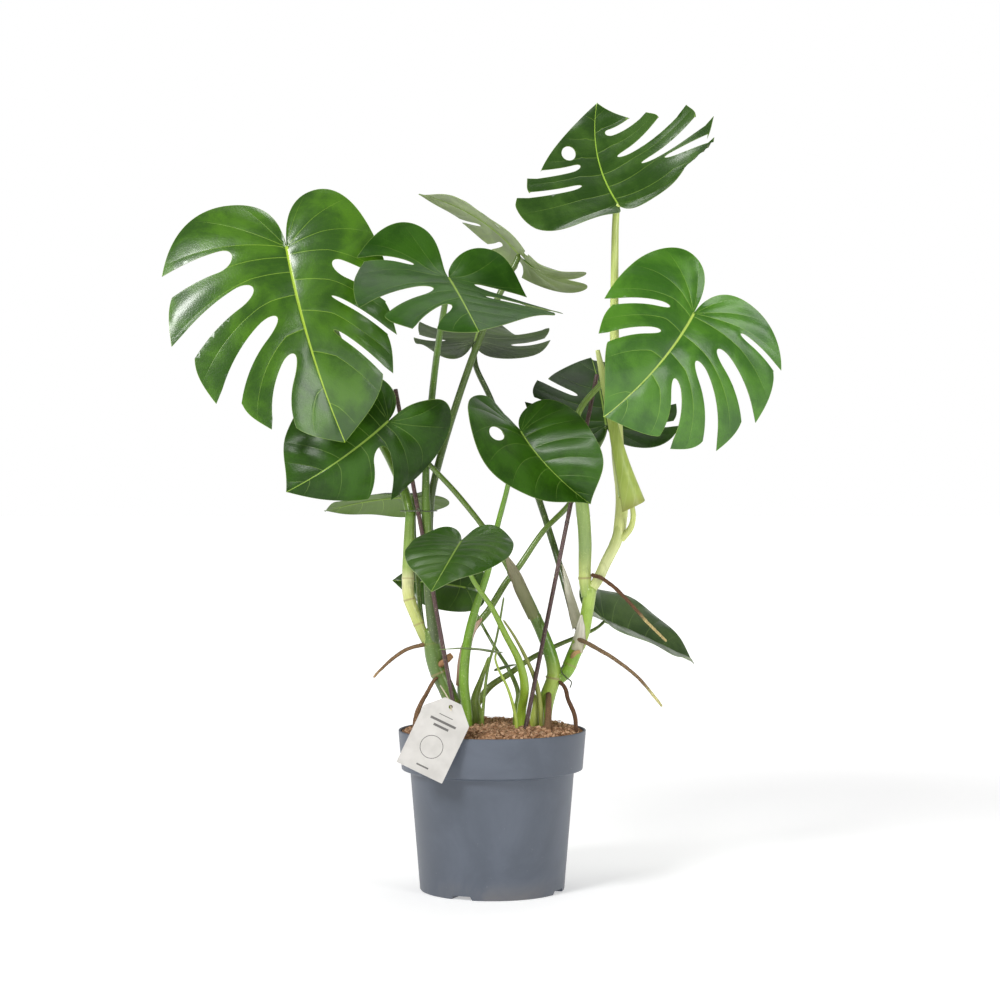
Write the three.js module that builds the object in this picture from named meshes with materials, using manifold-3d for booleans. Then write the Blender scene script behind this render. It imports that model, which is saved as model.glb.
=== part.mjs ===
// Potted monstera plant: tapered nursery pot, soil, three stems, split leaves on long stalks,
// air roots, two support sticks, tie wires and a hanging card tag.
// Millimetres, +Z up. The origin is the centre of the pot's underside; the plant's front faces -Y.
import * as THREE from "three";
import { mergeVertices } from "three/addons/utils/BufferGeometryUtils.js";
import Module from "manifold-3d";

const wasm = await Module();
wasm.setup();

// Driving dimensions: pot
const potHeight = 204;
const rimTopRadius = 120;
const rimBottomRadius = 116;
const rimBandHeight = 50;
const bodyTopRadius = 105;
const footRadius = 92.5;
const potWall = 2.2;
const potFloor = 7;
const potSides = 48;
const notchCount = 4;
const notchWidth = 30;
const notchHeight = 5;
const notchLength = 26;
const notchAngle = -24.5;
const notchSlope = 3;
const notchOuter = footRadius + 4;
const drainRadius = 6;
const drainReach = notchOuter - notchLength + drainRadius;
const drainSides = 16;

// Driving dimensions: soil
const soilGap = 0.5;
const soilHeight = 207;
const soilEdgeDrop = 8;
const lumpHeight = 2.2;

// Driving dimensions: leaves and stalks
const leafThickness = 2;
const stalkSides = 8;
const thinSides = 6;
const socketGap = 0.6;
const plantingDepth = 26;

// Driving dimensions: young rolled leaf
const rolledWinding = 1.35 * 2 * Math.PI;
const rolledStart = 2.4;
const rolledSheet = 1.2;
const rolledNeck = 3.2;
const rolledBelly = 3;
const rolledBellyShare = 0.3;
const rolledFlare = 14;
const rolledInset = 0.5;
const rolledPoint = 30;
const rolledRows = 10;
const rolledSides = 14;

// Driving dimensions: tag, string and wires
const tagWidth = 62;
const tagHeight = 97;
const tagCorner = 20;
const tagThickness = 1;
const tagHoleRadius = 2.5;
const tagHoleDown = 8;
const tagPitch = 84;
const tagPlace = [-89, -126, 164];
const tagLean = 25.6;
const wireRadius = 0.8;

const root = new THREE.Group();
root.name = "potted_monstera";

const paint = {
  pot: new THREE.MeshStandardMaterial({ color: 0x757b87, roughness: 0.42, metalness: 0 }),
  soil: new THREE.MeshStandardMaterial({ color: 0x8a6549, roughness: 1, metalness: 0 }),
  leaf: new THREE.MeshStandardMaterial({ color: 0x2f6b1c, roughness: 0.32, metalness: 0 }),
  youngLeaf: new THREE.MeshStandardMaterial({ color: 0xa9b95c, roughness: 0.45, metalness: 0 }),
  stalk: new THREE.MeshStandardMaterial({ color: 0x6f9a3a, roughness: 0.45, metalness: 0 }),
  stem: new THREE.MeshStandardMaterial({ color: 0x86a84a, roughness: 0.45, metalness: 0 }),
  root: new THREE.MeshStandardMaterial({ color: 0x7b5a40, roughness: 0.9, metalness: 0 }),
  stick: new THREE.MeshStandardMaterial({ color: 0x5a434a, roughness: 0.5, metalness: 0 }),
  wire: new THREE.MeshStandardMaterial({ color: 0x4c5a40, roughness: 0.5, metalness: 0.4 }),
  card: new THREE.MeshStandardMaterial({ color: 0xeeece6, roughness: 0.75, metalness: 0 }),
  string: new THREE.MeshStandardMaterial({ color: 0xe6dcc4, roughness: 0.9, metalness: 0 }),
};

function addMesh(name, geometry, material) {
  const mesh = new THREE.Mesh(geometry, material);
  mesh.name = name;
  root.add(mesh);
  return mesh;
}

function toSolid(geometry) {
  const bare = geometry.clone();
  bare.deleteAttribute("normal");
  bare.deleteAttribute("uv");
  const merged = mergeVertices(bare, 1e-4);
  const vertProperties = new Float32Array(merged.attributes.position.array);
  const triVerts = new Uint32Array(merged.index.array);
  return new wasm.Manifold(new wasm.Mesh({ numProp: 3, vertProperties, triVerts }));
}

function fromSolid(solid) {
  const mesh = solid.getMesh();
  const geometry = new THREE.BufferGeometry();
  geometry.setAttribute("position", new THREE.BufferAttribute(new Float32Array(mesh.vertProperties), 3));
  geometry.setIndex([...mesh.triVerts]);
  return geometry;
}

// Stalks: a round section swept along a smooth route, with its own radius at each point.
function stalkGeometry(route, radii, sides = stalkSides, step = 26) {
  const curve = new THREE.CatmullRomCurve3(route.map((p) => new THREE.Vector3(...p)), false, "centripetal");
  const steps = Math.max(2, Math.round(curve.getLength() / step));
  const section = new THREE.Shape();
  for (let i = 0; i < sides; i += 1) {
    const turn = (2 * Math.PI * i) / sides;
    if (i === 0) section.moveTo(Math.cos(turn), Math.sin(turn));
    else section.lineTo(Math.cos(turn), Math.sin(turn));
  }
  section.closePath();
  const geometry = new THREE.ExtrudeGeometry(section, { steps, extrudePath: curve, bevelEnabled: false });
  const centres = curve.getSpacedPoints(steps);
  const position = geometry.attributes.position;
  const vertex = new THREE.Vector3();
  for (let i = 0; i < position.count; i += 1) {
    vertex.fromBufferAttribute(position, i);
    let nearest = 0;
    for (let j = 1; j <= steps; j += 1) {
      if (centres[j].distanceToSquared(vertex) < centres[nearest].distanceToSquared(vertex)) nearest = j;
    }
    const along = (nearest / steps) * (radii.length - 1);
    const low = Math.min(Math.floor(along), radii.length - 2);
    const radius = THREE.MathUtils.lerp(radii[low], radii[low + 1], along - low);
    vertex.sub(centres[nearest]).multiplyScalar(radius).add(centres[nearest]);
    position.setXYZ(i, vertex.x, vertex.y, vertex.z);
  }
  return geometry;
}

// A route that starts in the soil gets one more point straight below its first one.
function planted([x, y, z], ...rest) {
  return [[x, y, soilHeight - plantingDepth], [x, y, z], ...rest];
}

const soilSockets = [];

function addStalk(name, route, radii, material, options = {}) {
  const { sides = stalkSides, step = 26, inSoil = false } = options;
  addMesh(name, stalkGeometry(route, radii, sides, step), material);
  if (inSoil) {
    const below = [route[0][0], route[0][1], route[0][2] - 1];
    const widened = radii.map((radius) => radius + socketGap);
    soilSockets.push(stalkGeometry([below, ...route.slice(1)], widened, sides, step));
  }
}

// Leaf blades. A blade is drawn flat first: x across, y along the midrib, from the stalk at y = 0 to the tip.
// side is +1 for the half on the right when looking along the midrib from above, -1 for the left.
// vein(side, k, s): k runs along the half's margin from the notch at the stalk (0) to the tip (1),
// s runs along one vein from the midrib (0) to the margin (1).

const plainLeaf = {
  lobe: 0.28, arch: 20, lift: 10, cup: [8, 8], curl: [30, 30], half: [1, 1], shoulder: [0.62, 0.62],
  point: [0.42, 0.42], twist: 0, sweep: 0, ripple: 0, slits: { left: [], right: [] }, window: null,
};
const veinStart = 0.42;
const widest = 0.22;
const ribReach = 0.93;
const veinBow = 0.14;
const plainWidening = 0.35;
const flarePower = 1.6;
const windowSides = 8;
const leastClearance = 5;
const swapPasses = 60;
const ribStops = [0.1, 0.25, 0.4, 0.55, 0.7, 0.85];

function pick(pair, side) {
  return side > 0 ? pair[1] : pair[0];
}

function marginPath(leaf, side) {
  const across = leaf.width * pick(leaf.half, side);
  const { length, lobe } = leaf;
  const shoulder = pick(leaf.shoulder, side);
  const point = pick(leaf.point, side);
  const at = (x, y) => new THREE.Vector2(x * across, y * length);
  const path = new THREE.CurvePath();
  path.add(new THREE.CubicBezierCurve(at(0, 0), at(0.012, -0.35 * lobe), at(0.06, -lobe), at(0.42, -lobe)));
  path.add(new THREE.CubicBezierCurve(
    at(0.42, -lobe), at(0.75, -lobe), at(1, 0.2 * widest - 0.35 * lobe), at(1, widest)));
  path.add(new THREE.CubicBezierCurve(at(1, widest), at(1, shoulder), at(point, 0.8), at(0, 1)));
  return path;
}

function makeVeins(leaf) {
  const margins = { 1: marginPath(leaf, 1), "-1": marginPath(leaf, -1) };
  return (side, k, s) => {
    const edge = margins[side].getPoint(THREE.MathUtils.clamp(k, 0, 1));
    const run = THREE.MathUtils.clamp((k - veinStart) / (1 - veinStart), 0, 1);
    const origin = new THREE.Vector2(0, leaf.length * ribReach * run ** 1.25);
    const bulge = veinBow * THREE.MathUtils.clamp((k - 0.2) / 0.3, 0, 1) * edge.distanceTo(origin);
    const control = origin.clone().add(edge).multiplyScalar(0.5);
    control.y -= bulge;
    const x = 2 * s * (1 - s) * control.x + s * s * edge.x;
    const y = (1 - s) ** 2 * origin.y + 2 * s * (1 - s) * control.y + s * s * edge.y;
    return new THREE.Vector2(side * x, y);
  };
}

// Flat blade point to its place in space: droop along the midrib, folded and curled halves,
// twist and sideways sweep, then the leaf's own heading, pitch and roll at its stalk.
function makeBend(leaf) {
  const { length, width } = leaf;
  const rad = THREE.MathUtils.degToRad;
  const arch = rad(leaf.arch) + 1e-6;
  const lift = rad(leaf.lift) + 1e-6;
  const lobeLength = leaf.lobe * length;
  const [heading, pitch, roll] = leaf.aim.map(rad);
  const along = new THREE.Vector3(
    Math.cos(pitch) * Math.cos(heading), Math.cos(pitch) * Math.sin(heading), Math.sin(pitch));
  const level = new THREE.Vector3(Math.sin(heading), -Math.cos(heading), 0);
  const upright = level.clone().cross(along);
  const across = level.clone().multiplyScalar(Math.cos(roll)).addScaledVector(upright, -Math.sin(roll));
  const normal = level.clone().multiplyScalar(Math.sin(roll)).addScaledVector(upright, Math.cos(roll));
  const base = new THREE.Vector3(...leaf.base);
  return (x, y) => {
    const side = x < 0 ? -1 : 1;
    const bend = y >= 0 ? (-arch * y) / length : (lift * y) / lobeLength;
    const run = y >= 0 ? (length / arch) * Math.sin(-bend) : (lobeLength / lift) * Math.sin(bend);
    const rise = (y >= 0 ? -length / arch : lobeLength / lift) * (1 - Math.cos(bend));
    const cup = rad(pick(leaf.cup, side));
    const curl = rad(pick(leaf.curl, side)) + 1e-6;
    const out = Math.abs(x) / width;
    const flatX = side * (width / curl) * (Math.sin(cup) - Math.sin(cup - curl * out));
    let flatZ = (width / curl) * (Math.cos(cup - curl * out) - Math.cos(cup));
    const reach = Math.hypot(x, y - 0.15 * length) / length;
    flatZ += leaf.ripple * reach ** 2 * Math.sin(5 * Math.atan2(x, y - 0.15 * length) + 1.2);
    const twist = (rad(leaf.twist) * y) / length;
    const sweep = leaf.sweep * Math.max(y / length, 0) ** 2;
    const turnedX = flatX * Math.cos(twist) - flatZ * Math.sin(twist) + sweep;
    const turnedZ = flatX * Math.sin(twist) + flatZ * Math.cos(twist);
    return base.clone()
      .addScaledVector(across, turnedX)
      .addScaledVector(along, run - turnedZ * Math.sin(bend))
      .addScaledVector(normal, rise + turnedZ * Math.cos(bend));
  };
}

// A slit is [k at its inner end, share of the vein it cuts, width, k at the margin, widening].
// The widening is the extra width at the margin, as a share of the width.
function slitCentre([inner, depth, , outer], s) {
  return inner + (outer - inner) * THREE.MathUtils.clamp((s - 1 + depth) / depth, 0, 1.3);
}

function slitHalfWidth(vein, side, slit, s) {
  const [, depth, width, , widening = plainWidening] = slit;
  const centre = slitCentre(slit, s);
  const perK = vein(side, centre - 0.01, s).distanceTo(vein(side, centre + 0.01, s)) / 0.02;
  const opening = THREE.MathUtils.clamp((s - 1 + depth) / (0.22 * depth), 0, 1);
  const flare = 1 + widening * THREE.MathUtils.clamp((s - 1 + depth) / depth, 0, 1) ** flarePower;
  return (width * flare * Math.sqrt(1 - (1 - opening) ** 2)) / 2 / Math.max(perK, 1e-6);
}

function halfOutline(leaf, vein, side) {
  const slits = side > 0 ? leaf.slits.right : leaf.slits.left;
  const points = [];
  for (let lobe = 0; lobe <= slits.length; lobe += 1) {
    const before = slits[lobe - 1];
    const after = slits[lobe];
    const start = before ? before[3] + slitHalfWidth(vein, side, before, 1) : 0;
    const end = after ? after[3] - slitHalfWidth(vein, side, after, 1) : 1;
    if (before) {
      for (const turn of [0, 0.3, 0.62, 1]) {
        const s = 1 - before[1] + before[1] * (1 - Math.cos((turn * Math.PI) / 2));
        const k = slitCentre(before, s) + slitHalfWidth(vein, side, before, s);
        if (turn < 1) points.push(vein(side, k, s));
      }
    }
    const steps = before && after ? 3 : Math.max(4, Math.round(leaf.marginSteps * (end - start)));
    for (let i = 0; i <= steps; i += 1) {
      const t = i / steps;
      let s = 1;
      if (before) s -= 0.05 * (1 - t) ** 4;
      if (after) s += 0.05 * t * t;
      points.push(vein(side, start + (end - start) * t, s));
    }
    if (after) {
      for (const turn of [0.62, 0.3]) {
        const s = 1 - after[1] + after[1] * (1 - Math.cos((turn * Math.PI) / 2));
        points.push(vein(side, slitCentre(after, s) - slitHalfWidth(vein, side, after, s), s));
      }
    }
  }
  return points;
}

// Triangles of a flat outline with holes, with extra inner points, improved by swapping
// diagonals until every pair of neighbours is as even as it can be.
function triangulate(contour, holes, inner) {
  const points = [...contour, ...holes.flat()];
  const triangles = THREE.ShapeUtils.triangulateShape(contour, holes);
  const area = (a, b, c) => (b.x - a.x) * (c.y - a.y) - (b.y - a.y) * (c.x - a.x);
  for (const triangle of triangles) {
    if (area(...triangle.map((i) => points[i])) < 0) triangle.reverse();
  }
  const fixed = new Set();
  let first = 0;
  for (const loop of [contour, ...holes]) {
    loop.forEach((_, i) => {
      const pair = [first + i, first + ((i + 1) % loop.length)].sort((a, b) => a - b);
      fixed.add(pair.join("_"));
    });
    first += loop.length;
  }
  for (const point of inner) {
    const clearance = Math.min(...points.map((other) => other.distanceTo(point)));
    const home = triangles.findIndex(([a, b, c]) => [[a, b], [b, c], [c, a]].every(
      ([i, j]) => area(points[i], points[j], point) > 1));
    if (home < 0 || clearance < leastClearance) continue;
    const [a, b, c] = triangles[home];
    const added = points.push(point) - 1;
    triangles.splice(home, 1, [a, b, added], [b, c, added], [c, a, added]);
  }
  const inCircle = (a, b, c, d) => {
    const rows = [a, b, c].map((p) => [p.x - d.x, p.y - d.y, (p.x - d.x) ** 2 + (p.y - d.y) ** 2]);
    const [r, s, t] = rows;
    return r[0] * (s[1] * t[2] - s[2] * t[1]) - r[1] * (s[0] * t[2] - s[2] * t[0])
      + r[2] * (s[0] * t[1] - s[1] * t[0]) > 1e-6;
  };
  for (let pass = 0; pass < swapPasses; pass += 1) {
    const owners = new Map();
    const used = new Set();
    let swaps = 0;
    triangles.forEach((triangle, index) => {
      for (let i = 0; i < 3; i += 1) {
        const key = [triangle[i], triangle[(i + 1) % 3]].sort((a, b) => a - b).join("_");
        if (!owners.has(key)) owners.set(key, []);
        owners.get(key).push([index, triangle[i], triangle[(i + 1) % 3], triangle[(i + 2) % 3]]);
      }
    });
    for (const [key, pair] of owners) {
      if (pair.length !== 2 || fixed.has(key) || used.has(pair[0][0]) || used.has(pair[1][0])) continue;
      const [[one, a, b, c], [two, , , d]] = pair;
      const convex = area(points[c], points[a], points[d]) > 1 && area(points[d], points[b], points[c]) > 1;
      if (!convex || !inCircle(points[a], points[b], points[c], points[d])) continue;
      triangles[one] = [c, a, d];
      triangles[two] = [d, b, c];
      used.add(one).add(two);
      swaps += 1;
    }
    if (swaps === 0) break;
  }
  return { points, triangles, loops: [contour, ...holes] };
}

function sheetGeometry({ points, triangles, loops }, bend, thickness) {
  const delta = 0.5;
  const vertices = [];
  for (const way of [1, -1]) {
    for (const { x, y } of points) {
      const side = x < 0 ? -1 : 1;
      const here = bend(x, y);
      const sideways = bend(x + side * delta, y).sub(here).multiplyScalar(side);
      const normal = sideways.cross(bend(x, y + delta).sub(here)).normalize();
      here.addScaledVector(normal, (way * thickness) / 2);
      vertices.push(here.x, here.y, here.z);
    }
  }
  const under = points.length;
  const index = [];
  for (const [a, b, c] of triangles) index.push(a, b, c, c + under, b + under, a + under);
  let first = 0;
  loops.forEach((loop) => {
    for (let i = 0; i < loop.length; i += 1) {
      const a = first + i;
      const b = first + ((i + 1) % loop.length);
      index.push(a, a + under, b, b, a + under, b + under);
    }
    first += loop.length;
  });
  const geometry = new THREE.BufferGeometry();
  geometry.setAttribute("position", new THREE.Float32BufferAttribute(vertices, 3));
  geometry.setIndex(index);
  return geometry;
}

function leafGeometry(given) {
  const leaf = { ...plainLeaf, marginSteps: 26, ...given };
  const vein = makeVeins(leaf);
  const right = halfOutline(leaf, vein, 1);
  const left = halfOutline(leaf, vein, -1);
  const contour = [...right, ...left.slice(1, -1).reverse()];
  const holes = [];
  if (leaf.window) {
    const { side, k, from, to, width } = leaf.window;
    const middle = vein(side, k, (from + to) / 2);
    const reach = vein(side, k, to).sub(vein(side, k, from)).multiplyScalar(0.5);
    const sideways = new THREE.Vector2(-reach.y, reach.x).setLength(width / 2);
    const ring = [];
    for (let i = 0; i < windowSides; i += 1) {
      const turn = (-2 * Math.PI * i) / windowSides;
      const onRing = middle.clone().addScaledVector(reach, Math.cos(turn));
      ring.push(onRing.addScaledVector(sideways, Math.sin(turn)));
    }
    holes.push(ring);
  }
  const inner = [];
  for (const share of ribStops) inner.push(new THREE.Vector2(0, share * leaf.length));
  for (const side of [1, -1]) {
    const cuts = (side > 0 ? leaf.slits.right : leaf.slits.left).map((slit) => slit[3]);
    const stops = [0.12, 0.27, ...cuts, 0.94];
    for (let i = 0; i < stops.length - 1; i += 1) {
      const k = (stops[i] + stops[i + 1]) / 2;
      for (const s of [0.36, 0.7]) inner.push(vein(side, k, s));
    }
  }
  return sheetGeometry(triangulate(contour, holes, inner), makeBend(leaf), leafThickness);
}

const leaves = {
  // Large split leaf on the left, hanging towards the front.
  leaf_a: {
    base: [-255, -88, 812], aim: [-53, -72, 39], length: 255, width: 143, half: [0.8, 1.12], lobe: 0.29,
    arch: 29, lift: -28, cup: [5, 16], curl: [34, 25], shoulder: [0.68, 0.69], point: [0.64, 0.63],
    twist: 14, sweep: -24,
    slits: {
      right: [[0.45, 0.56, 28, 0.455], [0.57, 0.68, 24, 0.61], [0.67, 0.79, 20, 0.75], [0.78, 0.8, 22, 0.87]],
      left: [[0.52, 0.55, 22, 0.56], [0.62, 0.62, 6, 0.67], [0.72, 0.66, 8, 0.78]],
    },
  },
  // Split leaf in the upper middle, seen almost along its surface, with raised basal lobes.
  leaf_b: {
    base: [-53, -125, 771], aim: [-79, -20, -17], length: 174, width: 142, half: [0.92, 0.84], lobe: 0.42,
    arch: 11, lift: 70, cup: [-1, -17], curl: [2, -1], shoulder: [0.7, 0.62], point: [0.46, 0.48],
    twist: -23, sweep: -14,
    slits: {
      right: [[0.35, 0.56, 6, 0.42], [0.62, 0.78, 26, 0.67], [0.8, 0.8, 20, 0.85]],
      left: [[0.44, 0.7, 20, 0.41], [0.66, 0.7, 14, 0.6]],
    },
  },
  // Leaf above it that shows its pale underside.
  leaf_c: {
    base: [35, 20, 816], aim: [178, 50, 0], length: 155, width: 68, lobe: 0.62, arch: 38, lift: 58,
    cup: [8, -8], curl: [10, 12],
    slits: {
      right: [[0.5, 0.6, 8, 0.52], [0.62, 0.6, 8, 0.66], [0.74, 0.6, 8, 0.8]],
      left: [[0.5, 0.5, 6, 0.52], [0.65, 0.55, 7, 0.7]],
    },
  },
  // Dark wavy leaf at the back, pointing away.
  leaf_d: {
    base: [-23, 80, 708], aim: [86, 24, 3], length: 150, width: 98, half: [0.82, 0.98], lobe: 0.34, arch: 25,
    lift: -5, cup: [-10, -12], curl: [-25, -25], ripple: 16,
    slits: {
      right: [[0.5, 0.5, 8, 0.5], [0.64, 0.5, 8, 0.64]],
      left: [[0.5, 0.5, 8, 0.5], [0.66, 0.5, 8, 0.66]],
    },
  },
  // Leaf on the lower left with one wide slit.
  leaf_e: {
    base: [-131, -54, 597], aim: [-160, -42, -55], length: 152, width: 92, half: [0.98, 1.08], lobe: 0.3,
    arch: 20, lift: 69, cup: [-23, 16], curl: [58, 26], shoulder: [0.58, 0.65], point: [0.52, 0.39],
    twist: -6, sweep: 36, slits: { right: [], left: [[0.59, 0.8, 24, 0.67]] },
  },
  // Leaf below and behind it.
  leaf_f: {
    base: [-104, 85, 503], aim: [162, -2, 8], length: 129, width: 62, lobe: 0.3, arch: 14, cup: [2, -10],
    curl: [16, 10],
  },
  // Heart leaf in the middle with one closed window.
  leaf_g: {
    base: [36, -70, 583], aim: [-52, -47, 33], length: 124, width: 100, half: [0.73, 1.21], lobe: 0.24,
    arch: 29, lift: -3, cup: [16, 57], curl: [11, 6], shoulder: [0.81, 0.8], point: [0.47, 0.45], twist: -22,
    sweep: -38, window: { side: 1, k: 0.53, from: 0.43, to: 0.7, width: 16 },
  },
  // Small heart leaf low in front.
  leaf_h: {
    base: [-38, -100, 447], aim: [-99, -14, 5], length: 129, width: 66, half: [1.05, 0.92], lobe: 0.29,
    arch: 24, lift: 21, cup: [9, 15], curl: [31, 17], shoulder: [0.66, 0.62], point: [0.46, 0.45], twist: 5,
    sweep: 18,
  },
  // Small leaf behind it, pointing left.
  leaf_i: {
    base: [-35, 60, 383], aim: [180, 10, -50], length: 98, width: 40, arch: 15,
  },
  // Top leaf on the right, seen from the front with long curling lobes.
  leaf_j: {
    base: [162, 20, 881], aim: [149, 54, -35], length: 148, width: 143, half: [1, 1.12], lobe: 0.21, arch: -1,
    lift: 49, cup: [14, 5], curl: [18, -49], shoulder: [0.3, 0.43], point: [0.39, 0.19], twist: -1, sweep: 60,
    ripple: 5,
    slits: {
      right: [
        [0.55, 0.43, 8, 0.44], [0.61, 0.58, 7, 0.52, 2.8], [0.72, 0.7, 8, 0.66, 3.2], [0.86, 0.65, 12, 0.8, 0.8],
      ],
      left: [[0.61, 0.64, 7, 0.55], [0.72, 0.62, 11, 0.64]],
    },
    window: { side: -1, k: 0.77, from: 0.52, to: 0.83, width: 20 },
  },
  // Large split leaf on the right.
  leaf_k: {
    base: [254, -50, 733], aim: [-132, -50, -78], length: 191, width: 126, half: [1.17, 0.84], lobe: 0.32,
    arch: 21, lift: 20, cup: [20, 2], curl: [15, 47], shoulder: [0.75, 0.64], point: [0.66, 0.44], twist: 18,
    sweep: 23,
    slits: {
      right: [[0.52, 0.68, 9, 0.6], [0.64, 0.73, 10, 0.74]],
      left: [[0.37, 0.48, 9, 0.4], [0.53, 0.66, 16, 0.56], [0.63, 0.75, 16, 0.69], [0.74, 0.76, 14, 0.82]],
    },
  },
  // Dark split leaf at the back on the right.
  leaf_l: {
    base: [150, 80, 596], aim: [97, 50, 0], length: 150, width: 100, lobe: 0.28, curl: [22, 22],
    slits: {
      right: [[0.42, 0.55, 9, 0.44], [0.55, 0.6, 9, 0.58], [0.68, 0.6, 9, 0.72]],
      left: [[0.42, 0.55, 9, 0.44], [0.54, 0.62, 10, 0.58], [0.67, 0.62, 9, 0.72]],
    },
  },
  // Folded leaf low on the right.
  leaf_n: {
    base: [148, 85, 338], aim: [14, -22, 35], length: 151, width: 73, half: [0.98, 0.99], lobe: 0.29,
    arch: 16, lift: 15, cup: [12, 39], curl: [17, 21], shoulder: [0.55, 0.62], point: [0.38, 0.42], twist: -3,
    sweep: -21,
  },
  // Narrow young leaf low in the middle, and a tiny one under it.
  leaf_o: {
    base: [6, -62, 308], aim: [178, 12, 8], length: 74, width: 13, lobe: 0.1, arch: 22, cup: [4, 4],
    curl: [20, 20], shoulder: [0.5, 0.5], marginSteps: 12,
  },
  leaf_p: {
    base: [5, -28, 283], aim: [-8, 22, 10], length: 28, width: 8, lobe: 0.1, marginSteps: 8,
  },
};

function addLeaves() {
  for (const [name, leaf] of Object.entries(leaves)) addMesh(name, leafGeometry(leaf), paint.leaf);
}

// Young rolled leaf: one sheet wound around its own axis, opening towards the bottom.
function addRolledLeaf() {
  const axis = new THREE.CatmullRomCurve3([
    new THREE.Vector3(134, -20, 689), new THREE.Vector3(147, -20, 625), new THREE.Vector3(160, -20, 562),
    new THREE.Vector3(172, -20, 515),
  ]);
  const radiusAt = (t) => rolledNeck + rolledFlare * t ** 3
    + rolledBelly * Math.sin(Math.min(t / rolledBellyShare, 1) * (Math.PI / 2));
  const frames = axis.computeFrenetFrames(rolledRows, false);
  const vertices = [];
  for (let row = 0; row <= rolledRows; row += 1) {
    const t = row / rolledRows;
    const centre = axis.getPointAt(t);
    const across = new THREE.Vector3(1, 0, 0).addScaledVector(frames.tangents[row], -frames.tangents[row].x);
    across.normalize();
    const deep = frames.tangents[row].clone().cross(across);
    for (const layer of [0, 1]) {
      for (let i = 0; i <= rolledSides; i += 1) {
        const wound = i / rolledSides;
        const angle = rolledStart - rolledWinding * wound;
        const radius = radiusAt(t) * (1 - rolledInset * wound) + (layer - 0.5) * (rolledSheet / 2);
        const lowering = rolledPoint * t * t * (1 - wound);
        const vertex = centre.clone()
          .addScaledVector(across, radius * Math.cos(angle))
          .addScaledVector(deep, radius * Math.sin(angle))
          .addScaledVector(frames.tangents[row], lowering);
        vertices.push(vertex.x, vertex.y, vertex.z);
      }
    }
  }
  const perLayer = rolledSides + 1;
  const perRow = 2 * perLayer;
  const ring = [];
  for (let i = 0; i <= rolledSides; i += 1) ring.push(perLayer + i);
  for (let i = rolledSides; i >= 0; i -= 1) ring.push(i);
  const index = [];
  for (let row = 0; row < rolledRows; row += 1) {
    for (let i = 0; i < ring.length; i += 1) {
      const a = row * perRow + ring[i];
      const b = row * perRow + ring[(i + 1) % ring.length];
      index.push(a, a + perRow, b, b, a + perRow, b + perRow);
    }
  }
  for (let i = 0; i < rolledSides; i += 1) {
    const top = [i, i + 1, perLayer + i, perLayer + i + 1];
    index.push(top[0], top[2], top[1], top[1], top[2], top[3]);
    const low = top.map((v) => v + rolledRows * perRow);
    index.push(low[0], low[1], low[2], low[1], low[3], low[2]);
  }
  const geometry = new THREE.BufferGeometry();
  geometry.setAttribute("position", new THREE.Float32BufferAttribute(vertices, 3));
  geometry.setIndex(index);
  addMesh("leaf_m", geometry, paint.youngLeaf);
}

function addStems() {
  const planting = { inSoil: true };
  addStalk("stem_left", planted([-46, -4, 222], [-58, -5, 255], [-71, -5, 283], [-78, -5, 317]),
    [9, 9, 11, 10, 12.5], paint.stem, planting);
  addStalk("stem_middle", planted([66, -4, 222], [72, -5, 250], [79, -5, 273], [75, -5, 299], [57, -3, 344],
    [33, -1, 392], [24, 0, 408]), [10, 10.5, 9.5, 8.5, 7.5, 7.5, 8], paint.stem, planting);
  addStalk("stem_right", [[97, -3, 280], [104, -2, 301], [115, 0, 323], [121, 0, 350], [126, 0, 384]],
    [8, 9, 8.5, 8, 10], paint.stem);
  addStalk("branch_left", [[-87, -4, 325], [-97, -2, 349], [-107, 0, 374], [-108, 2, 402], [-105, 5, 476]],
    [6.5, 7.8, 7.8, 7, 7], paint.stem);
  addStalk("branch_right", [[135, 0, 393], [146, 0, 418], [160, 2, 447], [164, 4, 460]], [6.5, 6.5, 7, 7.5],
    paint.stem);
}

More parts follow.
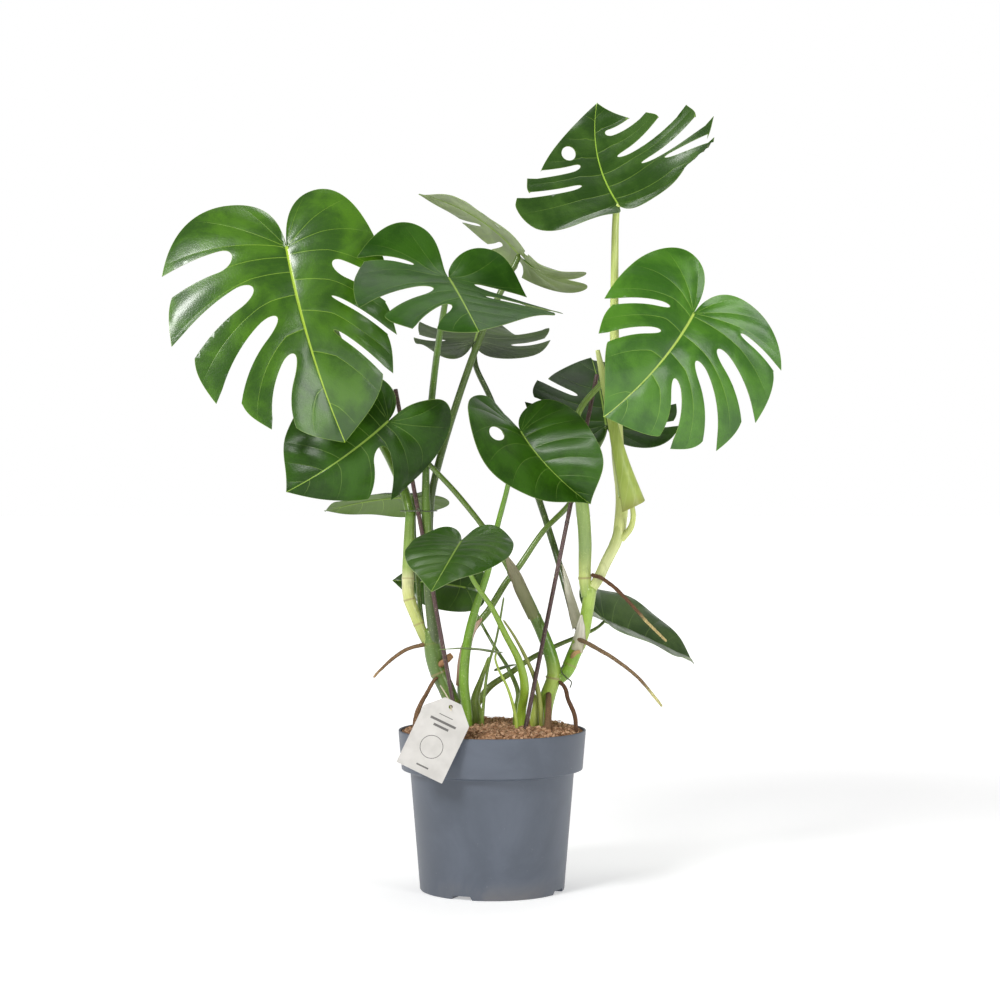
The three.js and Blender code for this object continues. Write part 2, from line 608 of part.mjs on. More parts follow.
function addLeafStalks() {
  const planting = { inSoil: true };
  addStalk("petiole_a", [[-105, 5, 480], [-113, 16, 508], [-130, 36, 546], [-154, 42, 592], [-182, 34, 664],
    [-217, -8, 748], [-250, -62, 802]], [6.5, 6, 5, 4.2], paint.stalk);
  addStalk("petiole_b", [[-73, -8, 322], [-79, -6, 370], [-82, 0, 421], [-84, 3, 463], [-85, 3, 538],
    [-77, 0, 633], [-69, -34, 690], [-57, -98, 748]], [6, 6, 4.5, 4.3, 4], paint.stalk);
  addStalk("petiole_c", [[-76, 9, 322], [-78, 16, 369], [-81, 20, 440], [-79, 20, 500], [-68, 20, 550],
    [-36, 20, 653], [-9, 20, 724], [20, 20, 785], [31, 20, 806]], [4.5, 4.8, 4.8, 4.5], paint.stalk);
  addStalk("petiole_d", [[107, 14, 341], [97, 36, 378], [79, 60, 443], [49, 74, 530], [15, 80, 592],
    [-6, 80, 640], [-22, 79, 675], [-24, 79, 697]], [4.5, 4.5, 4, 4], paint.stalk);
  addStalk("petiole_e", [[19, -1, 415], [5, -4, 440], [-14, -8, 467], [-48, -10, 509], [-81, -8, 544],
    [-104, -6, 569], [-117, -17, 582]], [4.5, 3.6, 3.4, 3.2], paint.stalk);
  addStalk("petiole_f", [[-80, 11, 299], [-91, 22, 340], [-97, 27, 400], [-101, 32, 440], [-103, 56, 476],
    [-103, 77, 497]], [3.4, 3.2, 3], paint.stalk, { sides: thinSides });
  addStalk("petiole_g", planted([-32, -24, 226], [-36, -27, 270], [-31, -30, 320], [-22, -33, 357],
    [-6, -38, 406], [7, -44, 466], [19, -50, 512], [30, -58, 565]), [6.5, 6.4, 4.6, 3.4, 3],
    paint.stalk, planting);
  addStalk("petiole_h", planted([37, -20, 226], [41, -38, 262], [34, -52, 295], [17, -66, 329],
    [-1, -78, 365], [-24, -88, 400], [-34, -92, 428]), [6, 6, 4, 3, 2.8], paint.stalk, planting);
  addStalk("petiole_i", planted([30, -2, 226], [33, -4, 251], [21, 4, 281], [5, 22, 305], [-14, 40, 337],
    [-29, 54, 366]), [3.5, 3, 2, 1.8], paint.stalk, { inSoil: true, sides: thinSides });
  addStalk("petiole_k", [[119, 1, 394], [119, -1, 447], [115, -9, 492], [106, -8, 556], [110, 4, 608],
    [138, 6, 645], [160, -3, 664], [189, -14, 688], [234, -24, 719], [247, -36, 724]],
    [6, 8, 4, 3.6, 3.6], paint.stalk);
  addStalk("petiole_l", planted([-39, 26, 224], [-40, 22, 265], [-29, 18, 324], [-5, 18, 355], [19, 22, 393],
    [34, 26, 411], [66, 34, 457], [103, 48, 496], [138, 70, 566], [146, 75, 582]),
    [5.5, 5, 4.5, 3.8, 3.6, 3.4], paint.stalk, planting);
  addStalk("petiole_n", planted([-24, 16, 222], [-5, 18, 255], [23, 20, 274], [50, 22, 293], [80, 24, 308],
    [114, 30, 322], [132, 52, 328], [144, 80, 334]), [4.5, 4.5, 3.5, 2.6, 2.4], paint.stalk, planting);
  addStalk("petiole_o", planted([30, -58, 222], [20, -62, 261], [8, -62, 286], [4, -61, 300]), [2.5, 2, 1.6],
    paint.stalk, { inSoil: true, sides: thinSides });
  addStalk("petiole_j", [[164, 5, 462], [167, 8, 498], [162, 13, 560], [158, 17, 692], [158, 19, 782],
    [160, 20, 868]], [7, 6.8, 5.6, 4.6, 4.2], paint.stalk, { step: 34 });
  addStalk("petiole_m", [[178, -6, 462], [180, -16, 478], [177, -20, 492]], [3, 3], paint.stalk,
    { sides: thinSides });
  addStalk("petiole_spare", planted([62, -27, 226], [56, -28, 265], [46, -31, 291], [29, -38, 324],
    [14, -46, 347]), [3.2, 3.4, 2.4, 1.4], paint.stalk, { inSoil: true, sides: thinSides });
  addStalk("petiole_thin", planted([-12, -16, 222], [-5, -17, 285], [5, -18, 320], [10, -20, 345],
    [15, -22, 375]), [2.4, 2, 1.6, 1.4], paint.stalk, { inSoil: true, sides: thinSides });
}

function addSheaths() {
  const planting = { inSoil: true };
  addStalk("sheath_left", planted([-19, -2, 222], [-22, -3, 242], [-14, -5, 268], [-4, -8, 298]),
    [7, 7.5, 4, 1.5], paint.stalk, planting);
  addStalk("sheath_right", planted([54, -20, 222], [55, -21, 236], [54, -22, 252]), [6.2, 6.4, 1.5],
    paint.stalk, { inSoil: true, step: 12 });
}

function addAirRoots() {
  const thin = { sides: thinSides };
  addStalk("air_root_1", [[-92, -9, 312], [-107, -12, 308], [-124, -18, 298], [-143, -26, 281],
    [-151, -28, 272]], [2.8, 2.4, 1.6], paint.root, thin);
  addStalk("air_root_2", planted([-96, -44, 222], [-91, -40, 238], [-81, -28, 256], [-74, -18, 268]),
    [4, 3.6, 2.6, 2.2], paint.root, { inSoil: true, sides: thinSides });
  addStalk("air_root_3", [[140, -12, 398], [154, -15, 388], [169, -18, 374], [195, -22, 345],
    [222, -26, 318]], [2.6, 2.4, 2, 1.6], paint.root, thin);
  addStalk("air_root_4", [[118, -14, 317], [137, -22, 307], [157, -28, 295], [185, -38, 273],
    [215, -44, 237]], [3, 2.6, 2.2, 1.6], paint.root, thin);
  addStalk("air_root_5", planted([106, -26, 218], [103, -24, 230], [97, -20, 243], [93, -16, 258]),
    [2.8, 2.8, 2.6], paint.root, { inSoil: true, sides: thinSides });
  addStalk("air_root_6", planted([70, -46, 210], [71, -36, 222], [72, -24, 240]), [4, 4.5, 3], paint.root,
    { inSoil: true, sides: thinSides, step: 14 });
}

function addSticks() {
  const options = { inSoil: true, sides: thinSides, step: 200 };
  const left = [[-38, -46, soilHeight - plantingDepth], [-125, 18, 641]];
  const right = [[36, -50, soilHeight - plantingDepth], [136, 36, 661]];
  addStalk("stick_left", left, [2.8, 2.8], paint.stick, options);
  addStalk("stick_right", right, [2.8, 2.8], paint.stick, options);
}

function addTies() {
  const thin = { sides: thinSides, step: 8 };
  addStalk("tie_left", [[-92, -16, 484], [-112, -8, 484], [-117, 6, 484], [-104, 18, 484], [-82, 29, 484],
    [-72, 20, 484], [-76, -4, 484], [-88, -18, 484], [-96, -22, 488]],
    [wireRadius, wireRadius], paint.wire, thin);
  addStalk("tie_right", [[92, -15, 288], [88, -14, 280], [94, -16, 272], [101, -18, 266], [99, -18, 258]],
    [wireRadius, wireRadius], paint.wire, thin);
}

// Card tag and its string.
function addTag() {
  const card = new THREE.Shape();
  const half = tagWidth / 2;
  card.moveTo(-half, 0);
  card.lineTo(half, 0);
  card.lineTo(half, tagHeight - tagCorner);
  card.lineTo(half - tagCorner, tagHeight);
  card.lineTo(tagCorner - half, tagHeight);
  card.lineTo(-half, tagHeight - tagCorner);
  card.closePath();
  const hole = new THREE.Path();
  hole.absarc(0, tagHeight - tagHoleDown, tagHoleRadius, 0, 2 * Math.PI, true);
  card.holes.push(hole);
  const options = { depth: tagThickness, bevelEnabled: false, curveSegments: 6 };
  const geometry = new THREE.ExtrudeGeometry(card, options);
  const tag = addMesh("tag", geometry, paint.card);
  tag.position.set(...tagPlace);
  tag.rotation.set(THREE.MathUtils.degToRad(tagPitch), 0, 0);
  tag.rotateZ(THREE.MathUtils.degToRad(-tagLean));
  addStalk("tag_string", [[-50, -124, 240], [-50.5, -117, 244], [-52, -108, 249], [-58, -60, 254],
    [-66, -24, 262]], [wireRadius, wireRadius], paint.string, { sides: thinSides, step: 12 });
}

function wallRadius(z) {
  return THREE.MathUtils.lerp(footRadius, bodyTopRadius, z / (potHeight - rimBandHeight));
}

function potGeometry() {
  const rimBase = potHeight - rimBandHeight;
  const outline = [
    [0, 0], [footRadius - 1.5, 0], [footRadius, 1.5], [bodyTopRadius, rimBase - 4],
    [bodyTopRadius + 3, rimBase - 1], [rimBottomRadius - 1, rimBase], [rimBottomRadius, rimBase + 1],
    [rimTopRadius - 0.6, potHeight - 5], [rimTopRadius, potHeight - 1], [rimTopRadius - 0.6, potHeight],
    [rimTopRadius - potWall + 0.4, potHeight], [rimTopRadius - potWall, potHeight - 2],
    [rimBottomRadius - potWall, rimBase + potWall + 1], [bodyTopRadius + 2, rimBase + potWall],
    [bodyTopRadius - potWall, rimBase - 2], [wallRadius(potFloor) - potWall, potFloor], [0, potFloor],
  ];
  const lathe = new THREE.LatheGeometry(outline.map(([r, z]) => new THREE.Vector2(r, z)), potSides);
  lathe.rotateX(Math.PI / 2);
  let solid = toSolid(lathe);
  for (let i = 0; i < notchCount; i += 1) {
    const turn = THREE.MathUtils.degToRad(notchAngle - 90 + (i * 360) / notchCount);
    const section = new THREE.Shape();
    section.moveTo(-notchWidth / 2, -1);
    section.lineTo(notchWidth / 2, -1);
    section.lineTo(notchWidth / 2 - notchSlope, notchHeight);
    section.lineTo(notchSlope - notchWidth / 2, notchHeight);
    section.closePath();
    const notch = new THREE.ExtrudeGeometry(section, { depth: notchLength, bevelEnabled: false });
    notch.rotateX(Math.PI / 2);
    notch.translate(0, notchOuter, 0);
    notch.rotateZ(turn - Math.PI / 2);
    solid = solid.subtract(toSolid(notch));
    const drain = new THREE.CylinderGeometry(drainRadius, drainRadius, 3 * potFloor, drainSides);
    drain.rotateX(Math.PI / 2);
    drain.translate(drainReach * Math.cos(turn), drainReach * Math.sin(turn), 0);
    solid = solid.subtract(toSolid(drain));
  }
  return fromSolid(solid);
}

function soilGeometry() {
  const rimBase = potHeight - rimBandHeight;
  const inside = potWall + soilGap;
  const edge = rimTopRadius - inside - 1;
  const outline = [
    [0, potFloor + soilGap], [wallRadius(potFloor) - inside - 0.5, potFloor + soilGap],
    [bodyTopRadius - inside - 0.3, rimBase - 2], [bodyTopRadius - inside - 0.3, rimBase + potWall + 1.5],
    [rimBottomRadius - inside - 0.6, rimBase + potWall + 2.2],
    [edge, soilHeight - soilEdgeDrop], [edge * 0.9, soilHeight - soilEdgeDrop * 0.45],
    [edge * 0.72, soilHeight],
    [edge * 0.5, soilHeight], [edge * 0.28, soilHeight + 1], [0, soilHeight + 1],
  ];
  const lathe = new THREE.LatheGeometry(outline.map(([r, z]) => new THREE.Vector2(r, z)), potSides);
  lathe.rotateX(Math.PI / 2);
  const position = lathe.attributes.position;
  for (let i = 0; i < position.count; i += 1) {
    const x = position.getX(i);
    const y = position.getY(i);
    const z = position.getZ(i);
    if (z < soilHeight - soilEdgeDrop * 0.6) continue;
    const lump = Math.sin(x * 0.11 + 1) * Math.cos(y * 0.13) + 0.6 * Math.sin((x + y) * 0.23);
    position.setZ(i, z + lumpHeight * lump);
  }
  let solid = toSolid(lathe);
  for (const socket of soilSockets) solid = solid.subtract(toSolid(socket));
  return fromSolid(solid);
}

addLeaves();
addRolledLeaf();
addStems();
addLeafStalks();
addSheaths();
addAirRoots();
addSticks();
addTies();
addTag();
addMesh("pot", potGeometry(), paint.pot);
addMesh("soil", soilGeometry(), paint.soil);

export default root;
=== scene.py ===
# Potted monstera plant: the finished looks of every piece, in metres, +Z up, front facing -Y.
import math
import random
import bpy
import numpy as np
from mathutils import Matrix, Vector, noise
from mathutils.geometry import delaunay_2d_cdt


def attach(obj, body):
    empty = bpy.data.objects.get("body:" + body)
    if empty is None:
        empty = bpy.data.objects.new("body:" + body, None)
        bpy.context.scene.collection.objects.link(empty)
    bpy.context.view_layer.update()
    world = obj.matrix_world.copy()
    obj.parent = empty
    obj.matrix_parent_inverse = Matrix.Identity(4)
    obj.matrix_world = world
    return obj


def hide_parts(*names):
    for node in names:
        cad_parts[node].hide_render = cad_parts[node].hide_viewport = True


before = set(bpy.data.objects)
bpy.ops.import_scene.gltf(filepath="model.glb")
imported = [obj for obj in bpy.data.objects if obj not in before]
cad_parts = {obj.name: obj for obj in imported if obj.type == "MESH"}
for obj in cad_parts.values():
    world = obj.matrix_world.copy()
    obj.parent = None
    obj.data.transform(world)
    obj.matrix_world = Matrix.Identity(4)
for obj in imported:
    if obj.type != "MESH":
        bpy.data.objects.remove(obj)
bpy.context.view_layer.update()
mm = 0.001
print("frame loaded:", len(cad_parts), "nodes")

# Camera first, level with the middle of the plant.
camera = dict(place=(0.010, -2.750, 0.498), lens=77.15, sensor=36)
cameraData = bpy.data.cameras.new("studioCamera")
cameraData.lens = camera["lens"]
cameraData.sensor_width = camera["sensor"]
cameraObject = bpy.data.objects.new("studioCamera", cameraData)
cameraObject.location = camera["place"]
cameraObject.rotation_euler = (math.pi / 2, 0, 0)
bpy.context.scene.collection.objects.link(cameraObject)
bpy.context.scene.camera = cameraObject


# Colours are given as a paint card shows them, 0 to 255, and turned into linear light.
def paint(red, green, blue):
    linear = [(v / 255 / 12.92) if v / 255 < 0.04045 else ((v / 255 + 0.055) / 1.055) ** 2.4
              for v in (red, green, blue)]
    return (*linear, 1.0)


def addNode(tree, kind, inputs=None, **settings):
    made = tree.nodes.new(kind)
    for key, value in settings.items():
        setattr(made, key, value)
    for key, value in (inputs or {}).items():
        if isinstance(value, bpy.types.NodeSocket):
            tree.links.new(value, made.inputs[key])
        else:
            made.inputs[key].default_value = value
    return made


def sums(tree, operation, *values):
    return addNode(tree, "ShaderNodeMath", dict(enumerate(values)), operation=operation).outputs[0]


def times(tree, *values):
    return sums(tree, "MULTIPLY", *values)


def plus(tree, *values):
    return sums(tree, "ADD", *values)


def minus(tree, *values):
    return sums(tree, "SUBTRACT", *values)


# How far a value is from the nearest whole number.
def offWhole(tree, value):
    return sums(tree, "ABSOLUTE", minus(tree, value, sums(tree, "ROUND", value)))


def vectorSums(tree, operation, *values, **named):
    inputs = {**dict(enumerate(values)), **named}
    return addNode(tree, "ShaderNodeVectorMath", inputs, operation=operation).outputs


def separate(tree, vector):
    return addNode(tree, "ShaderNodeSeparateXYZ", {0: vector}).outputs


def combine(tree, *values):
    return addNode(tree, "ShaderNodeCombineXYZ", dict(enumerate(values))).outputs[0]


def fade(tree, value, low, high, first=0.0, last=1.0):
    inputs = {"Value": value, "From Min": low, "From Max": high, "To Min": first, "To Max": last}
    return addNode(tree, "ShaderNodeMapRange", inputs, interpolation_type="SMOOTHSTEP").outputs[0]


def blendColours(tree, amount, first, second, way="MIX"):
    made = addNode(tree, "ShaderNodeMix", {0: amount, 6: first, 7: second}, data_type="RGBA", blend_type=way)
    return made.outputs[2]


# Lays colours over one another, each by its own amount.
def layered(tree, body, *coats):
    for amount, colour in coats:
        body = blendColours(tree, amount, body, paint(*colour))
    return body


# One colour turns into the other as the value rises from low to high.
def mottled(tree, value, low, high, first, last):
    return blendColours(tree, fade(tree, value, low, high), paint(*first), paint(*last))


def grain(tree, vector, scale, detail=3.0, rough=0.55, warp=0.0):
    inputs = {"Vector": vector, "Scale": scale, "Detail": detail, "Roughness": rough, "Distortion": warp}
    return addNode(tree, "ShaderNodeTexNoise", inputs).outputs["Fac"]


def objectSpace(tree, squeeze=(1, 1, 1)):
    here = addNode(tree, "ShaderNodeTexCoord").outputs["Object"]
    return addNode(tree, "ShaderNodeMapping", {"Vector": here, "Scale": squeeze}).outputs[0]


def readOut(tree, name):
    return addNode(tree, "ShaderNodeAttribute", attribute_name=name)


def bump(tree, height, strength, distance):
    inputs = {"Height": height, "Strength": strength, "Distance": distance}
    return addNode(tree, "ShaderNodeBump", inputs).outputs[0]


def newGroup(name, inputs, outputs):
    tree = bpy.data.node_groups.new(name, "ShaderNodeTree")
    for label, value in inputs.items():
        tree.interface.new_socket(label, in_out="INPUT", socket_type="NodeSocketFloat").default_value = value
    for label in outputs:
        tree.interface.new_socket(label, in_out="OUTPUT", socket_type="NodeSocketFloat")
    return tree, tree.nodes.new("NodeGroupInput").outputs, tree.nodes.new("NodeGroupOutput").inputs


def placeGroup(tree, group, **values):
    made = tree.nodes.new("ShaderNodeGroup")
    made.node_tree = group
    for label, value in values.items():
        made.inputs[label].default_value = value
    return made.outputs


def newMaterial(name, roughness=0.5, **settings):
    made = bpy.data.materials.new(name)
    made.use_nodes = True
    skin = made.node_tree.nodes["Principled BSDF"].inputs
    skin["Roughness"].default_value = roughness
    for label, value in settings.items():
        skin[label.replace("_", " ")].default_value = value
    return made, made.node_tree


# Joins a finished colour, relief and polish to the material's skin.
def dressed(made, colour, height, strength, distance, roughness=None):
    tree = made.node_tree
    skin = tree.nodes["Principled BSDF"].inputs
    tree.links.new(colour, skin["Base Color"])
    tree.links.new(bump(tree, height, strength, distance), skin["Normal"])
    if roughness is not None:
        tree.links.new(roughness, skin["Roughness"])
    return made


# Mesh helpers. Points are in millimetres until here.
def newPiece(name, points, faces, smooth=True):
    mesh = bpy.data.meshes.new(name)
    mesh.from_pydata((np.asarray(points, float) * mm).tolist(), [], [tuple(map(int, f)) for f in faces])
    mesh.validate()
    mesh.shade_smooth() if smooth else mesh.shade_flat()
    piece = bpy.data.objects.new(name, mesh)
    bpy.context.scene.collection.objects.link(piece)
    return piece


def storeAttribute(mesh, name, values, kind="FLOAT", domain="POINT"):
    layer = mesh.attributes.new(name, kind, domain)
    layer.data.foreach_set("vector" if kind == "FLOAT_VECTOR" else "value",
                           np.asarray(values, np.float32).ravel())


def signedVolume(mesh):
    mesh.calc_loop_triangles()
    corners = np.empty(len(mesh.vertices) * 3)
    mesh.vertices.foreach_get("co", corners)
    corners = corners.reshape(-1, 3)
    index = np.empty(len(mesh.loop_triangles) * 3, int)
    mesh.loop_triangles.foreach_get("vertices", index)
    a, b, c = corners[index.reshape(-1, 3).T]
    return float((a * np.cross(b, c)).sum() / 6)


def faceOutwards(piece):
    if signedVolume(piece.data) < 0:
        piece.data.flip_normals()


def settle(piece):
    depsgraph = bpy.context.evaluated_depsgraph_get()
    rough = piece.data
    piece.data = bpy.data.meshes.new_from_object(
        piece.evaluated_get(depsgraph), preserve_all_data_layers=True, depsgraph=depsgraph)
    piece.data.name = piece.name
    piece.modifiers.clear()
    bpy.data.meshes.remove(rough)
    faceOutwards(piece)


def finishPiece(piece, slotName, *nodes, material=None):
    if material:
        piece.data.materials.clear()
        piece.data.materials.append(material)
    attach(piece, "root")
    if nodes:
        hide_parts(*nodes)


def sharpenLoops(mesh, rings):
    pairs = np.empty(len(mesh.edges) * 2, int)
    mesh.edges.foreach_get("vertices", pairs)
    pairs = np.sort(pairs.reshape(-1, 2), axis=1)
    count = len(mesh.vertices) + 1
    wanted = []
    for ring in rings:
        ends = np.sort(np.stack([ring, np.roll(ring, -1)], axis=1), axis=1)
        wanted.append(ends[:, 0] * count + ends[:, 1])
    sharp = np.isin(pairs[:, 0] * count + pairs[:, 1], np.concatenate(wanted))
    layer = mesh.attributes.get("sharp_edge") or mesh.attributes.new("sharp_edge", "BOOLEAN", "EDGE")
    layer.data.foreach_set("value", sharp)


def insideLoops(points, loops):
    inside = np.zeros(len(points), bool)
    for loop in loops:
        x1, y1 = loop[:, 0], loop[:, 1]
        x2, y2 = np.roll(x1, -1), np.roll(y1, -1)
        for i in range(0, len(points), 2000):
            x, y = points[i:i + 2000, 0, None], points[i:i + 2000, 1, None]
            crosses = ((y1 > y) != (y2 > y)) & (x < (x2 - x1) * (y - y1) / (y2 - y1 + 1e-12) + x1)
            inside[i:i + 2000] ^= (crosses.sum(1) % 2).astype(bool)
    return inside


# Triangles of a flat outline with holes. extraEdges keeps a fold line on the triangles' sides.
def fillFlat(points, loops, extraEdges=()):
    edges = list(extraEdges)
    first = 0
    for loop in loops:
        edges += [(first + i, first + (i + 1) % len(loop)) for i in range(len(loop))]
        first += len(loop)
    flat = [Vector(p) for p in points.tolist()]
    _, _, faces, origins, _, _ = delaunay_2d_cdt(flat, edges, [], 0, 1e-4, True)
    back = [o[0] if o else -1 for o in origins]
    triangles = np.array([[back[i] for i in face] for face in faces if all(back[i] >= 0 for i in face)])
    middles = points[triangles].mean(1)
    triangles = triangles[insideLoops(middles, loops)]
    a, b, c = points[triangles[:, 0]], points[triangles[:, 1]], points[triangles[:, 2]]
    turn = (b[:, 0] - a[:, 0]) * (c[:, 1] - a[:, 1]) - (b[:, 1] - a[:, 1]) * (c[:, 0] - a[:, 0])
    triangles[turn < 0] = triangles[turn < 0][:, ::-1]
    return triangles


# Two skins over one flat pattern, joined along its loops. The loops are the first points.
def closedSkins(name, top, under, triangles, loops):
    count = len(top)
    faces = [tuple(t) for t in triangles.tolist()] + [tuple(t + count) for t in triangles[:, ::-1]]
    rings, first = [], 0
    for loop in loops:
        ring = np.arange(first, first + len(loop))
        for a, b in zip(ring, np.roll(ring, -1)):
            faces.append((a, a + count, b + count, b))
        rings += [ring, ring + count]
        first += len(loop)
    piece = newPiece(name, np.concatenate([top, under]), faces)
    sharpenLoops(piece.data, rings)
    faceOutwards(piece)
    return piece


# Smooth route through points (centripetal), resampled at an even spacing.
def smoothRoute(points, spacing):
    points = np.asarray(points, float)
    ends = [2 * points[0] - points[1], *points, 2 * points[-1] - points[-2]]
    fine = []
    for a, b, c, d in zip(ends, ends[1:], ends[2:], ends[3:]):
        gaps = [max(np.linalg.norm(q - p), 1e-6) ** 0.5 for p, q in ((a, b), (b, c), (c, d))]
        start = (b - a) / gaps[0] - (c - a) / (gaps[0] + gaps[1]) + (c - b) / gaps[1]
        stop = (c - b) / gaps[1] - (d - b) / (gaps[1] + gaps[2]) + (d - c) / gaps[2]
        t = np.linspace(0, 1, 24, endpoint=False)[:, None]
        hermite = (2 * t ** 3 - 3 * t ** 2 + 1) * b + (t ** 3 - 2 * t ** 2 + t) * start * gaps[1]
        fine.append(hermite + (3 * t ** 2 - 2 * t ** 3) * c + (t ** 3 - t ** 2) * stop * gaps[1])
    fine = np.concatenate([*fine, points[-1:]])
    run = np.concatenate([[0], np.cumsum(np.linalg.norm(np.diff(fine, axis=0), axis=1))])
    even = np.linspace(0, run[-1], max(4, round(run[-1] / spacing)))
    return np.stack([np.interp(even, run, fine[:, i]) for i in range(3)], axis=1), even


# Leaf blades. A blade is drawn flat: x across, y along the midrib from the stalk to the tip.
# k runs along a half's margin from the notch at the stalk (0) to the tip (1),
# s along one side vein from the midrib (0) to the margin (1). Pairs are [left, right].
plainLeaf = dict(
    lobe=0.28, arch=20, lift=10, cup=(8, 8), curl=(30, 30), half=(1, 1), shoulder=(0.62, 0.62),
    point=(0.42, 0.42), twist=0, sweep=0, ripple=0, right=(), left=(), window=None, skin=0.7, quilt=1.1,
    wave=2.0, ribWidth=1.6, ribHeight=1.9, veinGap=34, spacing=2.9, seed=0, dark=(38, 70, 9),
    light=(60, 98, 20), veins=(122, 152, 70), rib=(134, 164, 66), under=(118, 138, 84), veinShow=0.38,
    gloss=0.3, coat=0.3, shine=0.4)
veinStart, widest, ribReach, veinBow = 0.42, 0.22, 0.93, 0.14
# A slit opens over the first part of its depth and flares towards the margin, whose corners droop a little.
slitOpening, plainWidening, flarePower, cornerDroop, slitSteps, marginStep = 0.22, 0.35, 1.6, 0.05, 18, 2.4
# A ripple runs around a point on the midrib.
rippleFrom, rippleWaves, rippleTurn = 0.15, 5, 1.2


def pick(pair, side):
    return pair[1] if side > 0 else pair[0]


def slitsOf(leaf, side):
    return leaf["right"] if side > 0 else leaf["left"]


def marginTable(leaf, side):
    across, length, lobe = leaf["width"] * pick(leaf["half"], side), leaf["length"], leaf["lobe"]
    shoulder, point = pick(leaf["shoulder"], side), pick(leaf["point"], side)
    spans = [
        ((0, 0), (0.012, -0.35 * lobe), (0.06, -lobe), (0.42, -lobe)),
        ((0.42, -lobe), (0.75, -lobe), (1, 0.2 * widest - 0.35 * lobe), (1, widest)),
        ((1, widest), (1, shoulder), (point, 0.8), (0, 1))]
    t = np.linspace(0, 1, 201)[:, None]
    curves = []
    for a, b, c, d in np.array(spans) * [across, length]:
        curves.append((1 - t) ** 3 * a + 3 * t * (1 - t) ** 2 * b + 3 * t * t * (1 - t) * c + t ** 3 * d)
    line = np.concatenate([curves[0], curves[1][1:], curves[2][1:]])
    run = np.concatenate([[0], np.cumsum(np.linalg.norm(np.diff(line, axis=0), axis=1))])
    return run, line[:, 0], line[:, 1]


def makeVeins(leaf):
    tables = {side: marginTable(leaf, side) for side in (1, -1)}

    def vein(side, k, s):
        run, edgeX, edgeY = tables[side]
        place = np.clip(k, 0, 1) * run[-1]
        x, y = np.interp(place, run, edgeX), np.interp(place, run, edgeY)
        start = leaf["length"] * ribReach * np.clip((k - veinStart) / (1 - veinStart), 0, 1) ** 1.25
        bow = veinBow * np.clip((k - 0.2) / 0.3, 0, 1) * np.hypot(x, y - start)
        middle = (start + y) / 2 - bow
        across = s * (1 - s) * x + s * s * x
        return np.stack([side * across, (1 - s) ** 2 * start + 2 * s * (1 - s) * middle + s * s * y], axis=-1)

    return vein, {side: tables[side][0][-1] for side in tables}


def slitCentre(slit, s):
    inner, depth, _, outer = slit[:4]
    return inner + (outer - inner) * np.clip((s - 1 + depth) / depth, 0, 1.3)


def slitHalfWidth(vein, side, slit, s):
    _, depth, width, _, widening = (*slit, plainWidening)[:5]
    centre = slitCentre(slit, s)
    perK = np.linalg.norm(vein(side, centre - 0.01, s) - vein(side, centre + 0.01, s), axis=-1) / 0.02
    opening = np.clip((s - 1 + depth) / (slitOpening * depth), 0, 1)
    flare = 1 + widening * np.clip((s - 1 + depth) / depth, 0, 1) ** flarePower
    return width * flare * np.sqrt(1 - (1 - opening) ** 2) / 2 / np.maximum(perK, 1e-6)


# Side veins stand at whole numbers of the phase, and slits half way between two of them.
def veinPhase(leaf, vein, margin, side, k, s):
    slits = slitsOf(leaf, side)
    stops = [0.0, *[slit[3] for slit in slits], 1.0]
    counts = [max(1, round((b - a) * margin[side] / leaf["veinGap"])) for a, b in zip(stops, stops[1:])]
    knots = [np.zeros_like(s), *[slitCentre(slit, s) for slit in slits], np.ones_like(s)]
    phase, perPhase, total = np.full_like(s, 0.5), np.full_like(s, 0.05), 0.5
    for low, high, count in zip(knots, knots[1:], counts):
        span = np.maximum(high - low, 1e-4)
        here = k >= low
        phase = np.where(here, total + (k - low) / span * count, phase)
        perPhase = np.where(here, span / count, perPhase)
        total += count
    step = np.linalg.norm(vein(side, k + 0.004, s) - vein(side, k - 0.004, s), axis=-1) / 0.008
    return phase, step * perPhase, total - 0.5


def halfOutline(leaf, vein, margin, side):
    slits = slitsOf(leaf, side)
    places = []
    for i in range(len(slits) + 1):
        before = slits[i - 1] if i else None
        after = slits[i] if i < len(slits) else None
        start = before[3] + slitHalfWidth(vein, side, before, np.array(1.0)) if before else 0.0
        end = after[3] - slitHalfWidth(vein, side, after, np.array(1.0)) if after else 1.0
        if before:
            s = 1 - before[1] * np.cos(np.linspace(0, 1, slitSteps, endpoint=False) * math.pi / 2)
            places.append(np.stack([slitCentre(before, s) + slitHalfWidth(vein, side, before, s), s], axis=1))
        steps = max(6, round(margin[side] * (end - start) / marginStep))
        t = np.linspace(0, 1, steps + 1)
        s = np.ones_like(t)
        if before:
            s = s - cornerDroop * (1 - t) ** 4
        if after:
            s = s + cornerDroop * t * t
        places.append(np.stack([start + (end - start) * t, s], axis=1))
        if after:
            s = 1 - after[1] * np.cos(np.linspace(1, 0, slitSteps, endpoint=False)[1:] * math.pi / 2)
            places.append(np.stack([slitCentre(after, s) - slitHalfWidth(vein, side, after, s), s], axis=1))
    return np.concatenate(places)


def locate(vein, side, points, k, s):
    for _ in range(8):
        here = vein(side, k, s)
        byK = (vein(side, k + 1e-4, s) - here) / 1e-4
        byS = (vein(side, k, s + 1e-4) - here) / 1e-4
        miss = points - here
        area = byK[:, 0] * byS[:, 1] - byK[:, 1] * byS[:, 0]
        area = np.where(np.abs(area) < 1e-6, 1e-6, area)
        k = np.clip(k + np.clip((miss[:, 0] * byS[:, 1] - miss[:, 1] * byS[:, 0]) / area, -0.05, 0.05), 0, 1)
        s = np.clip(s + np.clip((byK[:, 0] * miss[:, 1] - byK[:, 1] * miss[:, 0]) / area, -0.1, 0.1), 0, 1.1)
    return k, s


